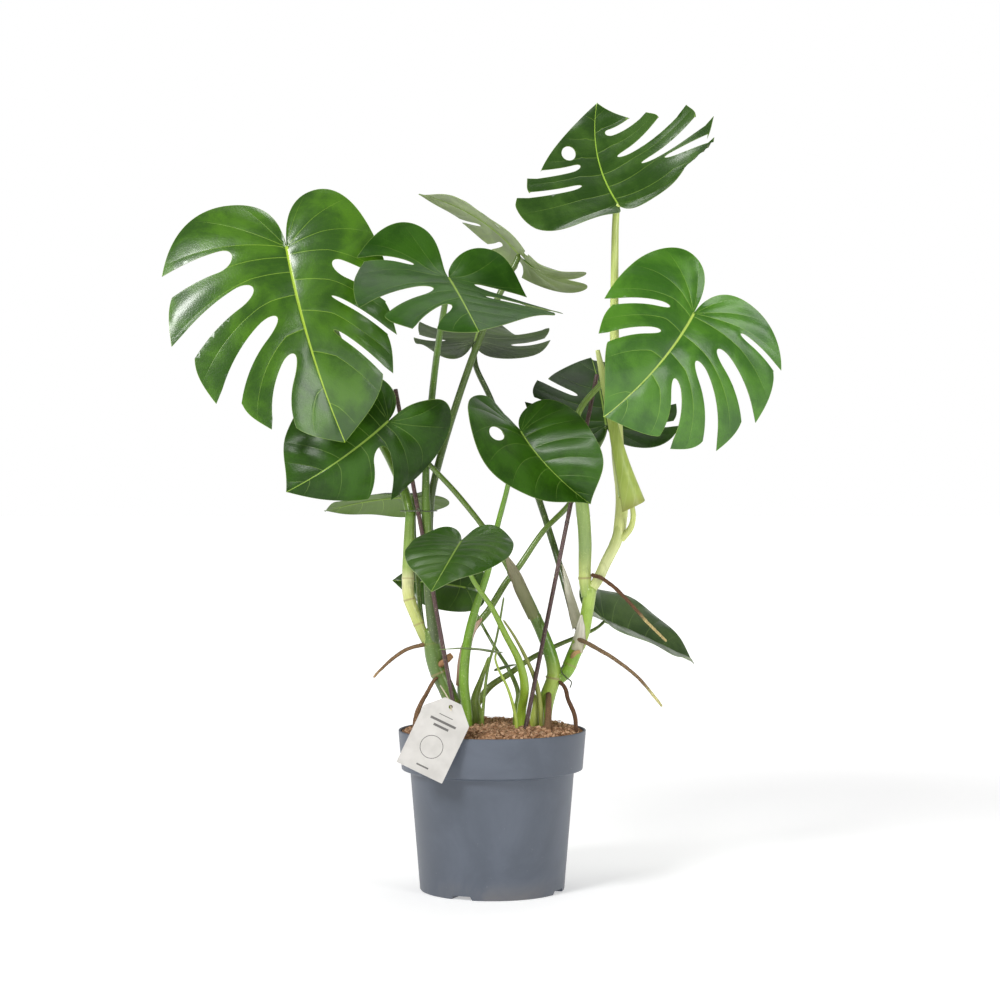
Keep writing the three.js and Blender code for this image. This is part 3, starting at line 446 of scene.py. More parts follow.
def thin(points, kept, spacing):
    cells = {}
    for x, y in kept.tolist():
        cells.setdefault((int(x // spacing), int(y // spacing)), []).append((x, y))
    chosen = []
    for i, (x, y) in enumerate(points.tolist()):
        column, row = int(x // spacing), int(y // spacing)
        near = [p for c in (-1, 0, 1) for r in (-1, 0, 1) for p in cells.get((column + c, row + r), ())]
        if all((x - p[0]) ** 2 + (y - p[1]) ** 2 >= spacing ** 2 for p in near):
            cells.setdefault((column, row), []).append((x, y))
            chosen.append(i)
    return chosen


# Flat blade point to its place: droop, cupped and curled halves, twist, sweep, then the leaf's own aim.
def makeBend(leaf):
    length, width = leaf["length"], leaf["width"]
    arch, lift = math.radians(leaf["arch"]) + 1e-6, math.radians(leaf["lift"]) + 1e-6
    lobeLength = leaf["lobe"] * length
    heading, pitch, roll = map(math.radians, leaf["aim"])
    along = np.array([math.cos(pitch) * math.cos(heading), math.cos(pitch) * math.sin(heading),
                      math.sin(pitch)])
    level = np.array([math.sin(heading), -math.cos(heading), 0])
    upright = np.cross(level, along)
    across = level * math.cos(roll) - upright * math.sin(roll)
    normal = level * math.sin(roll) + upright * math.cos(roll)

    def bend(x, y, side):
        turn = np.where(y >= 0, -arch * y / length, lift * y / lobeLength)
        run = np.where(y >= 0, length / arch * np.sin(-turn), lobeLength / lift * np.sin(turn))
        rise = np.where(y >= 0, -length / arch * (1 - np.cos(turn)), lobeLength / lift * (1 - np.cos(turn)))
        cup = np.radians(np.where(side > 0, leaf["cup"][1], leaf["cup"][0]))
        curl = np.radians(np.where(side > 0, leaf["curl"][1], leaf["curl"][0])) + 1e-6
        out = np.abs(x) / width
        flatX = side * (width / curl) * (np.sin(cup) - np.sin(cup - curl * out))
        flatZ = (width / curl) * (np.cos(cup - curl * out) - np.cos(cup))
        ahead = y - rippleFrom * length
        reach = np.hypot(x, ahead) / length
        flatZ = flatZ + leaf["ripple"] * reach ** 2 * np.sin(rippleWaves * np.arctan2(x, ahead) + rippleTurn)
        twist = math.radians(leaf["twist"]) * y / length
        sweep = leaf["sweep"] * np.maximum(y / length, 0) ** 2
        turnedX = flatX * np.cos(twist) - flatZ * np.sin(twist) + sweep
        turnedZ = flatX * np.sin(twist) + flatZ * np.cos(twist)
        return (np.array(leaf["base"], float) + turnedX[:, None] * across
                + (run - turnedZ * np.sin(turn))[:, None] * along
                + (rise + turnedZ * np.cos(turn))[:, None] * normal)

    def facing(x, y, side):
        here = bend(x, y, side)
        sideways = (bend(x + side * 0.4, y, side) - here) * side[:, None]
        found = np.cross(sideways, bend(x, y + 0.4, side) - here)
        return found / np.linalg.norm(found, axis=1)[:, None]

    return bend, facing


# How finely a blade is divided, in mm where it isn't a count: rows of points stand on and beside the
# midrib and the side veins, and the rest is filled at the leaf's own spacing.
bladeMesh = dict(
    foldSteps=200, windowSides=36, veinScan=1200, besideRib=(0.5, 1.1, 2.0), ribClear=0.8,
    besideVein=(0, 1.0, -1.0), tightest=6, veinClear=0.9, veinApart=0.85, fillClear=0.55, offRib=0.6)
# Relief of a blade's skins: distances in mm over which it fades or fills out, and depths in mm.
bladeSkin = dict(
    taper=0.6, ribEnd=0.2, edgeCalm=7, ribCalm=9, quiltGap=34, waveGap=14, waveTurn=2.3, crease=0.9,
    groove=0.35, ridge=0.45)


def windowRing(opening, vein):
    side, k = opening["side"], np.full(1, opening["k"])
    near, far = (vein(side, k, np.array([opening[end]]))[0] for end in ("from", "to"))
    reach = (far - near) / 2
    sideways = np.array([-reach[1], reach[0]]) / np.linalg.norm(reach) * opening["width"] / 2
    turn = -side * np.linspace(0, 2 * math.pi, bladeMesh["windowSides"], endpoint=False)[:, None]
    return (near + far) / 2 + reach * np.cos(turn) + sideways * np.sin(turn)


# Loops of flat points, the side and the place (k, s) of each point, and the tip's number.
def bladeBorder(leaf, vein, margin):
    right = halfOutline(leaf, vein, margin, 1)
    left = halfOutline(leaf, vein, margin, -1)[1:-1][::-1]
    loops = [np.concatenate([vein(1, right[:, 0], right[:, 1]), vein(-1, left[:, 0], left[:, 1])])]
    sides, places = [np.ones(len(right)), -np.ones(len(left))], [right, left]
    opening = leaf["window"]
    if opening:
        ring, side = windowRing(opening, vein), opening["side"]
        count = len(ring)
        loops.append(ring)
        places.append(np.stack(locate(vein, side, ring, np.full(count, opening["k"]), np.full(count, 0.6)),
                               axis=1))
        sides.append(np.full(count, float(side)))
    return loops, np.concatenate(sides), np.concatenate(places), len(right) - 1


# Places on every side vein and just beside it.
def veinLines(leaf, vein, margin, side):
    s = np.linspace(0.04, 1.0, max(8, round(leaf["width"] / leaf["spacing"])))
    fineK = np.linspace(0, 1, bladeMesh["veinScan"])
    gridK, gridS = np.meshgrid(fineK, s, indexing="ij")
    phase, gap, total = veinPhase(leaf, vein, margin, side, gridK.ravel(), gridS.ravel())
    phase, gap = phase.reshape(gridK.shape), gap.reshape(gridK.shape)
    lines = []
    for number in range(1, int(total) + 1):
        for shift in bladeMesh["besideVein"]:
            for column in range(len(s)):
                middle = int(np.searchsorted(phase[:, column], number).clip(0, len(fineK) - 1))
                if gap[middle, column] < bladeMesh["tightest"]:
                    continue
                wanted = number + shift / gap[middle, column]
                lines.append((np.interp(wanted, phase[:, column], fineK), s[column]))
    return np.array(lines)


# Points inside the loops as sets of (points, sides, places). The first set is the fold along the midrib.
def bladeInside(leaf, vein, margin, loops):
    mesh, spacing, length = bladeMesh, leaf["spacing"], leaf["length"]
    border = np.concatenate(loops)
    fold = np.stack([np.zeros(mesh["foldSteps"]), np.linspace(0, length, mesh["foldSteps"])], axis=1)[1:-1]
    fold = fold[:: max(1, round(mesh["foldSteps"] * spacing / length))]
    ribK = lambda rows, most: veinStart + (1 - veinStart) * np.clip(rows / length / ribReach, 0, most) ** 0.8
    clear = lambda points, gap: np.min(np.linalg.norm(points[:, None] - border[None], axis=2), axis=1) > gap
    found = [(fold, np.ones(len(fold)), np.stack([ribK(fold[:, 1], 1), np.zeros(len(fold))], axis=1))]
    for side in (1, -1):
        add = lambda points, place, good: found.append(
            (points[good], np.full(len(points[good]), float(side)), place[good]))
        rows = np.arange(4, length * 0.96, spacing * 0.8)
        for offset in mesh["besideRib"]:
            x = offset * leaf["ribWidth"] * (1 - bladeSkin["taper"] * rows / length)
            points = np.stack([side * x, rows], axis=1)
            place = locate(vein, side, points, ribK(rows, 0.999), np.full(len(rows), 0.03))
            add(points, np.stack(place, axis=1), insideLoops(points, loops) & clear(points, mesh["ribClear"]))
        k = np.linspace(0.004, 0.996, round(margin[side] / spacing))
        s = np.linspace(0.02, 1, round(0.6 * length / spacing))
        fill = np.stack([v.ravel() for v in np.meshgrid(k, s)], axis=1)
        for place, gap, apart in (
                (veinLines(leaf, vein, margin, side), mesh["veinClear"], mesh["veinApart"]),
                (fill, mesh["fillClear"] * spacing, spacing)):
            points = vein(side, place[:, 0], place[:, 1])
            good = np.flatnonzero(insideLoops(points, loops) & (np.abs(points[:, 0]) > mesh["offRib"]))
            good = good[clear(points[good], gap)]
            kept = np.concatenate([border, *[one[0] for one in found]])
            add(points, place, good[thin(points[good], kept, apart)])
    return fold, found


# Heights of the upper and the under skin over the bent blade: quilted between the side veins, creased
# along them, with a groove over the midrib and its ridge below.
def bladeRelief(leaf, x, y, s, side, phase, gap, edge):
    skin, length = bladeSkin, leaf["length"]
    taper = 1 - skin["taper"] * np.clip(y / length, 0, 1)
    rib = np.exp(-(x / (leaf["ribWidth"] * taper)) ** 2)
    rib = rib * np.clip((length - y) / (skin["ribEnd"] * length), 0, 1) * (y > -1)
    fromVein = np.abs(phase - np.round(phase)) * gap
    calm = np.clip(edge / skin["edgeCalm"], 0, 1) * np.clip(np.abs(x) / skin["ribCalm"], 0, 1)
    relief = leaf["quilt"] * np.clip(gap / skin["quiltGap"], 0, 1.1) * np.sin(math.pi * phase) ** 2 * calm
    wave = np.sin(skin["waveTurn"] * phase * side + leaf["seed"]) * np.clip(gap / skin["waveGap"], 0, 1)
    relief += leaf["wave"] * s ** 3 * wave
    crease = np.exp(-(fromVein / skin["crease"]) ** 2) * calm * (1 - 0.6 * s)
    above = leaf["skin"] / 2 + relief - skin["groove"] * (crease + rib)
    below = relief - leaf["skin"] / 2 - skin["ridge"] * crease - leaf["ribHeight"] * taper * rib
    return above, below


def buildLeaf(name, given):
    leaf = {**plainLeaf, **given}
    vein, margin = makeVeins(leaf)
    loops, sides, places, tip = bladeBorder(leaf, vein, margin)
    fold, found = bladeInside(leaf, vein, margin, loops)
    border = np.concatenate(loops)
    points = np.concatenate([border, *[one[0] for one in found]])
    side = np.concatenate([sides, *[one[1] for one in found]])
    place = np.concatenate([places, *[one[2] for one in found]])
    first, last = len(border), len(border) + len(fold) - 1
    folds = [(i, i + 1) for i in range(first, last)] + [(0, first), (last, tip)]
    triangles = fillFlat(points, loops, folds)
    phase, gap = np.zeros(len(points)), np.zeros(len(points))
    for way in (1, -1):
        mask = side == way
        phase[mask], gap[mask], _ = veinPhase(leaf, vein, margin, way, place[mask, 0], place[mask, 1])
    edge = np.concatenate([np.min(np.linalg.norm(points[i:i + 1000, None] - border[None], axis=2), axis=1)
                           for i in range(0, len(points), 1000)])
    bend, facing = makeBend(leaf)
    x, y, s = points[:, 0], points[:, 1], np.clip(place[:, 1], 0, 1.05)
    normal = facing(x, y, side)
    onFold = np.abs(x) < 0.05
    normal[onFold] += facing(x, y, -side)[onFold]
    normal /= np.linalg.norm(normal, axis=1)[:, None]
    above, below = bladeRelief(leaf, x, y, s, side, phase, gap, edge)
    middle = bend(x, y, side)
    skins = [middle + normal * height[:, None] for height in (above, below)]
    piece = closedSkins(name + "Blade", *skins, triangles, loops)
    double = lambda values: np.concatenate([values, values])
    storeAttribute(piece.data, "leafVein", double(np.stack([phase, gap, np.abs(x)], axis=1)), "FLOAT_VECTOR")
    storeAttribute(piece.data, "leafPlace", double(np.stack([edge, y / leaf["length"], s], axis=1)),
                   "FLOAT_VECTOR")
    upper = np.ones(len(piece.data.polygons))
    upper[len(triangles):] = 0
    storeAttribute(piece.data, "leafUpper", upper, domain="FACE")
    return piece, leaf


netLines = 4  # fine lines for every side vein


# Veins, midrib, rim and mottling of a blade, read from what the blade stores on itself.
def makeLeafPattern():
    tree, given, result = newGroup(
        "leafPattern", {"Rib Width": 1.6, "Vein Width": 0.8, "Rim Width": 0.7, "Seed": 0.0},
        ["Rib", "Vein", "Net", "Rim", "Mottle", "Height"])
    phase, gap, offRib = separate(tree, readOut(tree, "leafVein").outputs["Vector"])
    edge, along, s = separate(tree, readOut(tree, "leafPlace").outputs["Vector"])
    ribWidth = times(tree, given["Rib Width"], fade(tree, along, 0.0, 1.1, 1.0, 0.3))
    rib = fade(tree, sums(tree, "DIVIDE", offRib, ribWidth), 0.55, 1.25, 1.0, 0.0)
    rib = times(tree, rib, fade(tree, along, -0.012, 0.004))
    offVein = times(tree, offWhole(tree, phase), gap)
    veinWidth = times(tree, given["Vein Width"], fade(tree, s, 0.0, 1.0, 1.25, 0.3))
    vein = fade(tree, sums(tree, "DIVIDE", offVein, veinWidth), 0.35, 1.5, 1.0, 0.0)
    vein = times(tree, vein, fade(tree, s, 0.8, 0.97, 1.0, 0.15))
    offNet = times(tree, offWhole(tree, times(tree, phase, float(netLines))), gap)
    net = times(tree, fade(tree, offNet, 0.3, 1.6, 1.0, 0.0), fade(tree, gap, 6.0, 16.0))
    here = objectSpace(tree)
    shifted = vectorSums(tree, "ADD", here, combine(tree, given["Seed"]))[0]
    cells = addNode(tree, "ShaderNodeTexVoronoi", {"Vector": shifted, "Scale": 260.0},
                    feature="DISTANCE_TO_EDGE").outputs["Distance"]
    mottle = grain(tree, shifted, 17.0, 4.0, 0.6, 0.4)
    fine = grain(tree, shifted, 420.0, 2.0)
    height = plus(tree, times(tree, fade(tree, cells, 0.0, 0.25), 0.35), times(tree, fine, 0.3))
    height = minus(tree, height, times(tree, net, 0.1))
    height = minus(tree, height, times(tree, vein, 0.8))
    tree.links.new(rib, result["Rib"])
    tree.links.new(vein, result["Vein"])
    tree.links.new(net, result["Net"])
    tree.links.new(fade(tree, sums(tree, "DIVIDE", edge, given["Rim Width"]), 0.3, 1.0, 1.0, 0.0),
                   result["Rim"])
    tree.links.new(mottle, result["Mottle"])
    tree.links.new(height, result["Height"])
    return tree


leafPattern = makeLeafPattern()


def makeLeafMaterial(name, leaf):
    made, tree = newMaterial(
        name + "Green", Coat_Weight=leaf["coat"], Coat_Roughness=0.2, Specular_IOR_Level=leaf["shine"])
    marks = placeGroup(tree, leafPattern,
                       **{"Rib Width": leaf["ribWidth"] * 0.95, "Vein Width": 0.42, "Seed": leaf["seed"]})
    upper = readOut(tree, "leafUpper").outputs["Fac"]
    body = mottled(tree, marks["Mottle"], 0.36, 0.66, leaf["dark"], leaf["light"])
    body = layered(
        tree, body, (times(tree, marks["Net"], 0.04), leaf["veins"]),
        (times(tree, marks["Vein"], leaf["veinShow"]), leaf["veins"]), (marks["Rib"], leaf["rib"]),
        (times(tree, marks["Rim"], 0.55), leaf["veins"]))
    low = tuple(0.82 * v for v in leaf["under"])
    back = mottled(tree, marks["Mottle"], 0.3, 0.7, low, leaf["under"])
    back = layered(
        tree, back, (times(tree, marks["Net"], 0.2), leaf["rib"]),
        (sums(tree, "MAXIMUM", marks["Rib"], times(tree, marks["Vein"], 0.8)), leaf["rib"]))
    polish = plus(tree, leaf["gloss"], times(tree, marks["Mottle"], 0.12))
    matt = times(tree, minus(tree, 1.0, upper), 0.22)
    both = blendColours(tree, upper, back, body)
    return dressed(made, both, marks["Height"], 0.25, 0.0006, plus(tree, polish, matt))


leaves = dict(
    leaf_a=dict(  # large split leaf on the left, hanging towards the front
        base=(-255, -88, 812), aim=(-53, -72, 39), length=255, width=143, half=(0.8, 1.12), lobe=0.29,
        arch=29, lift=-28, cup=(5, 16), curl=(34, 25), shoulder=(0.68, 0.69), point=(0.64, 0.63), twist=14,
        sweep=-24,
        right=((0.45, 0.56, 28, 0.455), (0.57, 0.68, 24, 0.61), (0.67, 0.79, 20, 0.75),
            (0.78, 0.8, 22, 0.87)),
        left=((0.52, 0.55, 22, 0.56), (0.62, 0.62, 6, 0.67), (0.72, 0.66, 8, 0.78)), dark=(40, 78, 1),
        light=(68, 112, 4), veins=(140, 176, 56), rib=(158, 188, 52), veinShow=0.5, gloss=0.26, coat=0.5,
        quilt=0.8, veinGap=58, seed=1.0, ribWidth=2.2),
    leaf_b=dict(  # split leaf in the upper middle, seen almost along its surface
        base=(-53, -125, 771), aim=(-79, -20, -17), length=174, width=142, half=(0.92, 0.84), lobe=0.42,
        arch=11, lift=70, cup=(-1, -17), curl=(2, -1), shoulder=(0.7, 0.62), point=(0.46, 0.48), twist=-23,
        sweep=-14, right=((0.35, 0.56, 6, 0.42), (0.62, 0.78, 26, 0.67), (0.8, 0.8, 20, 0.85)),
        left=((0.44, 0.7, 20, 0.41), (0.66, 0.7, 14, 0.6)), dark=(30, 66, 4), light=(48, 88, 14), gloss=0.4,
        coat=0, shine=0.14, veinGap=50, seed=2.3),
    leaf_c=dict(  # leaf above it that shows its pale underside
        base=(35, 20, 816), aim=(178, 50, 0), length=155, width=68, lobe=0.62, arch=38, lift=58,
        cup=(8, -8), curl=(10, 12), right=((0.5, 0.6, 8, 0.52), (0.62, 0.6, 8, 0.66), (0.74, 0.6, 8, 0.8)),
        left=((0.5, 0.5, 6, 0.52), (0.65, 0.55, 7, 0.7)), dark=(62, 96, 22), light=(98, 128, 50),
        under=(150, 170, 108), coat=0.1, shine=0.25, veinGap=44, seed=3.1),
    leaf_d=dict(  # dark wavy leaf at the back
        base=(-23, 80, 708), aim=(86, 24, 3), length=150, width=98, half=(0.82, 0.98), lobe=0.34, arch=25,
        lift=-5, cup=(-10, -12), curl=(-25, -25), ripple=16,
        right=((0.5, 0.5, 8, 0.5), (0.64, 0.5, 8, 0.64)), left=((0.5, 0.5, 8, 0.5), (0.66, 0.5, 8, 0.66)),
        dark=(44, 64, 20), light=(68, 90, 38), veins=(150, 165, 110), under=(88, 104, 62), coat=0,
        shine=0.2, gloss=0.4, seed=4.2),
    leaf_e=dict(  # leaf on the lower left with one wide slit
        base=(-131, -54, 597), aim=(-160, -42, -55), length=152, width=92, half=(0.98, 1.08), lobe=0.3,
        lift=69, cup=(-23, 16), curl=(58, 26), shoulder=(0.58, 0.65), point=(0.52, 0.39), twist=-6,
        sweep=36, left=((0.59, 0.8, 24, 0.67),), dark=(32, 62, 5), light=(50, 90, 11), shine=0.2, coat=0.12,
        veinGap=32, seed=5.5),
    leaf_f=dict(  # leaf below and behind it
        base=(-104, 85, 503), aim=(162, -2, 8), length=129, width=62, lobe=0.3, arch=14, cup=(2, -10),
        curl=(16, 10), dark=(52, 82, 18), light=(78, 108, 36), under=(92, 122, 44), shine=0.25, coat=0.1,
        seed=6.1),
    leaf_g=dict(  # heart leaf in the middle with one closed window
        base=(36, -70, 583), aim=(-52, -47, 33), length=124, width=100, half=(0.73, 1.21), lobe=0.24,
        arch=29, lift=-3, cup=(16, 57), curl=(11, 6), shoulder=(0.81, 0.8), point=(0.47, 0.45), twist=-22,
        sweep=-38, window={"side": 1, "k": 0.53, "from": 0.43, "to": 0.7, "width": 16}, veinGap=30,
        dark=(34, 68, 4), light=(54, 96, 14), shine=0.22, coat=0.14, seed=7.7),
    leaf_h=dict(  # small heart leaf low in front
        base=(-38, -100, 447), aim=(-99, -14, 5), length=129, width=66, half=(1.05, 0.92), lobe=0.29,
        arch=24, lift=21, cup=(9, 15), curl=(31, 17), shoulder=(0.66, 0.62), point=(0.46, 0.45), twist=5,
        sweep=18, dark=(44, 80, 14), light=(64, 100, 28), veinGap=22, wave=1.0, veinShow=0.2, seed=8.4),
    leaf_i=dict(  # small leaf behind it, pointing left
        base=(-35, 60, 383), aim=(180, 10, -50), length=98, width=40, arch=15, dark=(38, 66, 12),
        light=(58, 90, 24), seed=9.2),
    leaf_j=dict(  # top leaf on the right with long curling lobes
        base=(162, 20, 881), aim=(149, 54, -35), length=148, width=143, half=(1, 1.12), lobe=0.21, arch=-1,
        lift=49, cup=(14, 5), curl=(18, -49), shoulder=(0.3, 0.43), point=(0.39, 0.19), twist=-1, sweep=60,
        right=((0.55, 0.43, 8, 0.44), (0.61, 0.58, 7, 0.52, 2.8), (0.72, 0.7, 8, 0.66, 3.2),
            (0.86, 0.65, 12, 0.8, 0.8)),
        left=((0.61, 0.64, 7, 0.55), (0.72, 0.62, 11, 0.64)), ripple=5, veinGap=46,
        window={"side": -1, "k": 0.77, "from": 0.52, "to": 0.83, "width": 20}, dark=(36, 68, 8),
        light=(58, 92, 24), veins=(124, 158, 54), rib=(150, 186, 66), veinShow=0.4, shine=0.3, coat=0.15,
        seed=10.9),
    # leaf_k: its own green, set a little lighter than the other big leaves' as painted light for light
    # shining through it from behind.
    leaf_k=dict(  # large split leaf on the right
        base=(254, -50, 733), aim=(-132, -50, -78), length=191, width=126, half=(1.17, 0.84), lobe=0.32,
        arch=21, lift=20, cup=(20, 2), curl=(15, 47), shoulder=(0.75, 0.64), point=(0.66, 0.44), twist=18,
        sweep=23, right=((0.52, 0.68, 9, 0.6), (0.64, 0.73, 10, 0.74)),
        left=((0.37, 0.48, 9, 0.4), (0.53, 0.66, 16, 0.56), (0.63, 0.75, 16, 0.69), (0.74, 0.76, 14, 0.82)),
        dark=(46, 94, 5), light=(74, 126, 22), veins=(144, 184, 70), rib=(178, 204, 90), veinShow=0.5,
        veinGap=54, seed=11.3, ribWidth=2.0),
    leaf_l=dict(  # dark split leaf at the back on the right
        base=(150, 80, 596), aim=(97, 50, 0), length=150, width=100, curl=(22, 22),
        right=((0.42, 0.55, 9, 0.44), (0.55, 0.6, 9, 0.58), (0.68, 0.6, 9, 0.72)),
        left=((0.42, 0.55, 9, 0.44), (0.54, 0.62, 10, 0.58), (0.67, 0.62, 9, 0.72)), dark=(28, 54, 3),
        light=(44, 78, 12), under=(46, 76, 18), coat=0, shine=0.15, gloss=0.42, veinGap=44, seed=12.6),
    leaf_n=dict(  # folded leaf low on the right
        base=(148, 85, 338), aim=(14, -22, 35), length=151, width=73, half=(0.98, 0.99), lobe=0.29, arch=16,
        lift=15, cup=(12, 39), curl=(17, 21), shoulder=(0.55, 0.62), point=(0.38, 0.42), twist=-3,
        sweep=-21, dark=(46, 72, 22), light=(72, 98, 42), seed=13.8),
    leaf_o=dict(  # narrow young leaf low in the middle
        base=(6, -62, 308), aim=(178, 12, 8), length=74, width=13, lobe=0.1, arch=22, cup=(4, 4),
        curl=(20, 20), shoulder=(0.5, 0.5), spacing=1.6, quilt=0.2, wave=0.4, ribWidth=0.6, ribHeight=0.6,
        veinGap=9, dark=(84, 106, 44), light=(116, 134, 66), seed=14.4),
    leaf_p=dict(  # tiny leaf under it
        base=(5, -28, 283), aim=(-8, 22, 10), length=28, width=8, lobe=0.1, spacing=1.2, quilt=0.1,
        wave=0.2, ribWidth=0.5, ribHeight=0.4, veinGap=7, dark=(96, 122, 44), light=(130, 150, 66),
        seed=15.7))
leafParts = {}
for leafName, leafGiven in leaves.items():
    leafPiece, leafFull = buildLeaf(leafName, leafGiven)
    finishPiece(leafPiece, "leaf_green", leafName, material=makeLeafMaterial(leafName, leafFull))
    leafParts[leafName] = leafFull
    print("leaf", leafName, len(leafPiece.data.polygons), "faces")


def newShapeTree(name, inputs):
    tree = bpy.data.node_groups.new(name, "GeometryNodeTree")
    for label, (kind, value) in inputs.items():
        socket = tree.interface.new_socket(label, in_out="INPUT", socket_type="NodeSocket" + kind)
        if value is not None:
            socket.default_value = value
    tree.interface.new_socket("Shape", in_out="OUTPUT", socket_type="NodeSocketGeometry")
    return tree, tree.nodes.new("NodeGroupInput").outputs, tree.nodes.new("NodeGroupOutput").inputs


# Everything long and round is swept by one Geometry Nodes tree along a line that stores its own
# girth. The tree also roughens the skin, and numbers the way around for the materials.
def makeSweepTree():
    tree, given, result = newShapeTree("sweptSkin", {
        "Line": ("Geometry", None), "Sides": ("Int", 16), "Lump Height": ("Float", 0.0),
        "Lump Scale": ("Float", 60.0),
        "Seed": ("Float", 0.0), "Finish": ("Material", None)})
    line = addNode(tree, "GeometryNodeMeshToCurve", {0: given["Line"]}).outputs[0]
    ring = addNode(tree, "GeometryNodeCurvePrimitiveCircle",
                   {"Resolution": given["Sides"], "Radius": 1.0}).outputs[0]
    turn = tree.nodes.new("GeometryNodeSplineParameter").outputs["Factor"]
    ring = addNode(tree, "GeometryNodeStoreNamedAttribute",
                   {"Geometry": ring, "Name": "around", "Value": turn}).outputs[0]
    girth = addNode(tree, "GeometryNodeInputNamedAttribute", {"Name": "girth"}).outputs[0]
    swept = addNode(tree, "GeometryNodeCurveToMesh", {
        "Curve": line, "Profile Curve": ring, "Scale": girth, "Fill Caps": True}).outputs[0]
    position = tree.nodes.new("GeometryNodeInputPosition").outputs[0]
    outward = tree.nodes.new("GeometryNodeInputNormal").outputs[0]
    here = vectorSums(tree, "ADD", position, combine(tree, given["Seed"]))[0]
    lumps = times(tree, minus(tree, grain(tree, here, given["Lump Scale"], 3.0), 0.5), 2.0)
    push = vectorSums(tree, "SCALE", outward, Scale=times(tree, lumps, given["Lump Height"]))[0]
    swept = addNode(tree, "GeometryNodeSetPosition", {"Geometry": swept, "Offset": push}).outputs[0]
    for kind in ("SetShadeSmooth", "RealizeInstances"):
        swept = addNode(tree, "GeometryNode" + kind, {0: swept}).outputs[0]
    swept = addNode(tree, "GeometryNodeSetMaterial",
                    {"Geometry": swept, "Material": given["Finish"]}).outputs[0]
    tree.links.new(swept, result["Shape"])
    return tree


sweepTree = makeSweepTree()


def useTree(piece, tree, **values):
    modifier = piece.modifiers.new(tree.name, "NODES")
    modifier.node_group = tree
    labels = {item.name: item.identifier for item in tree.interface.items_tree if item.in_out == "INPUT"}
    for label, value in values.items():
        modifier[labels[label.replace("_", " ")]] = value
    bpy.context.view_layer.update()


# Lines are dictionaries: route and radii in mm, rings = [(share along, extra radius, half length)].
def layLine(line):
    route, run = smoothRoute(line["route"], line.get("spacing", 3.0))
    share = run / run[-1]
    radii = line["radii"]
    girth = np.interp(share, np.linspace(0, 1, len(radii)), radii)
    for _ in range(8):
        girth[1:-1] = (girth[:-2] + 2 * girth[1:-1] + girth[2:]) / 4
    mark = np.zeros_like(share)
    for place, extra, half in line.get("rings", ()):
        bell = np.exp(-(((share - place) * run[-1]) / half) ** 2)
        girth = girth + extra * bell
        mark = np.maximum(mark, bell)
    for end, rounded in ((run, line.get("roundStart", False)), (run[-1] - run, line.get("roundEnd", True))):
        if rounded:
            reach = np.clip(end / np.maximum(girth, 0.4), 0, 1)
            girth = girth * np.maximum(np.sqrt(1 - (1 - reach) ** 2), 0.12)
    return route, run, girth, mark


def sweptPiece(name, lines, finish, sides=16, lumps=0.0, lumpScale=60.0, seed=0.0):
    points, edges, values = [], [], {"girth": [], "along": [], "share": [], "mark": []}
    for line in lines:
        route, run, girth, mark = layLine(line)
        first = len(points)
        points += route.tolist()
        edges += [(first + i, first + i + 1) for i in range(len(route) - 1)]
        for label, found in (("girth", girth * mm), ("along", run * mm), ("share", run / run[-1]),
                             ("mark", mark)):
            values[label] += found.tolist()
    mesh = bpy.data.meshes.new(name)
    mesh.from_pydata((np.array(points) * mm).tolist(), edges, [])
    for label, found in values.items():
        storeAttribute(mesh, label, found)
    piece = bpy.data.objects.new(name, mesh)
    bpy.context.scene.collection.objects.link(piece)
    useTree(piece, sweepTree, Sides=sides, Lump_Height=lumps * mm, Lump_Scale=lumpScale, Seed=seed,
            Finish=finish)
    settle(piece)
    return piece


# Long streaks and specks of a stalk's or stem's skin.
def makeSkinStreaks():
    tree, given, result = newGroup(
        "skinStreaks", {"Streak Scale": 1.0, "Seed": 0.0}, ["Streak", "Blotch", "Speck", "Height"])
    around = times(tree, readOut(tree, "around").outputs["Fac"], 2 * math.pi)
    along = readOut(tree, "along").outputs["Fac"]
    wrap = combine(tree, plus(tree, sums(tree, "COSINE", around), given["Seed"]), sums(tree, "SINE", around),
                   times(tree, along, 9.0))
    here = objectSpace(tree)
    streak = grain(tree, wrap, times(tree, given["Streak Scale"], 4.0), 4.0, 0.6)
    blotch = grain(tree, here, 38.0, 3.0, 0.55, 0.5)
    speck = fade(tree, grain(tree, here, 520.0, 1.0), 0.62, 0.74)
    tree.links.new(streak, result["Streak"])
    tree.links.new(blotch, result["Blotch"])
    tree.links.new(speck, result["Speck"])
    tree.links.new(plus(tree, streak, times(tree, speck, 0.2)), result["Height"])
    return tree


skinStreaks = makeSkinStreaks()


def tintsAlong(tree, share, tints):
    ramp = tree.nodes.new("ShaderNodeValToRGB")
    steps = ramp.color_ramp.elements
    while len(steps) < len(tints):
        steps.new(0.5)
    for step, (place, colour) in zip(steps, tints):
        step.position = place
        step.color = paint(*colour)
    tree.links.new(share, ramp.inputs[0])
    return ramp.outputs[0]


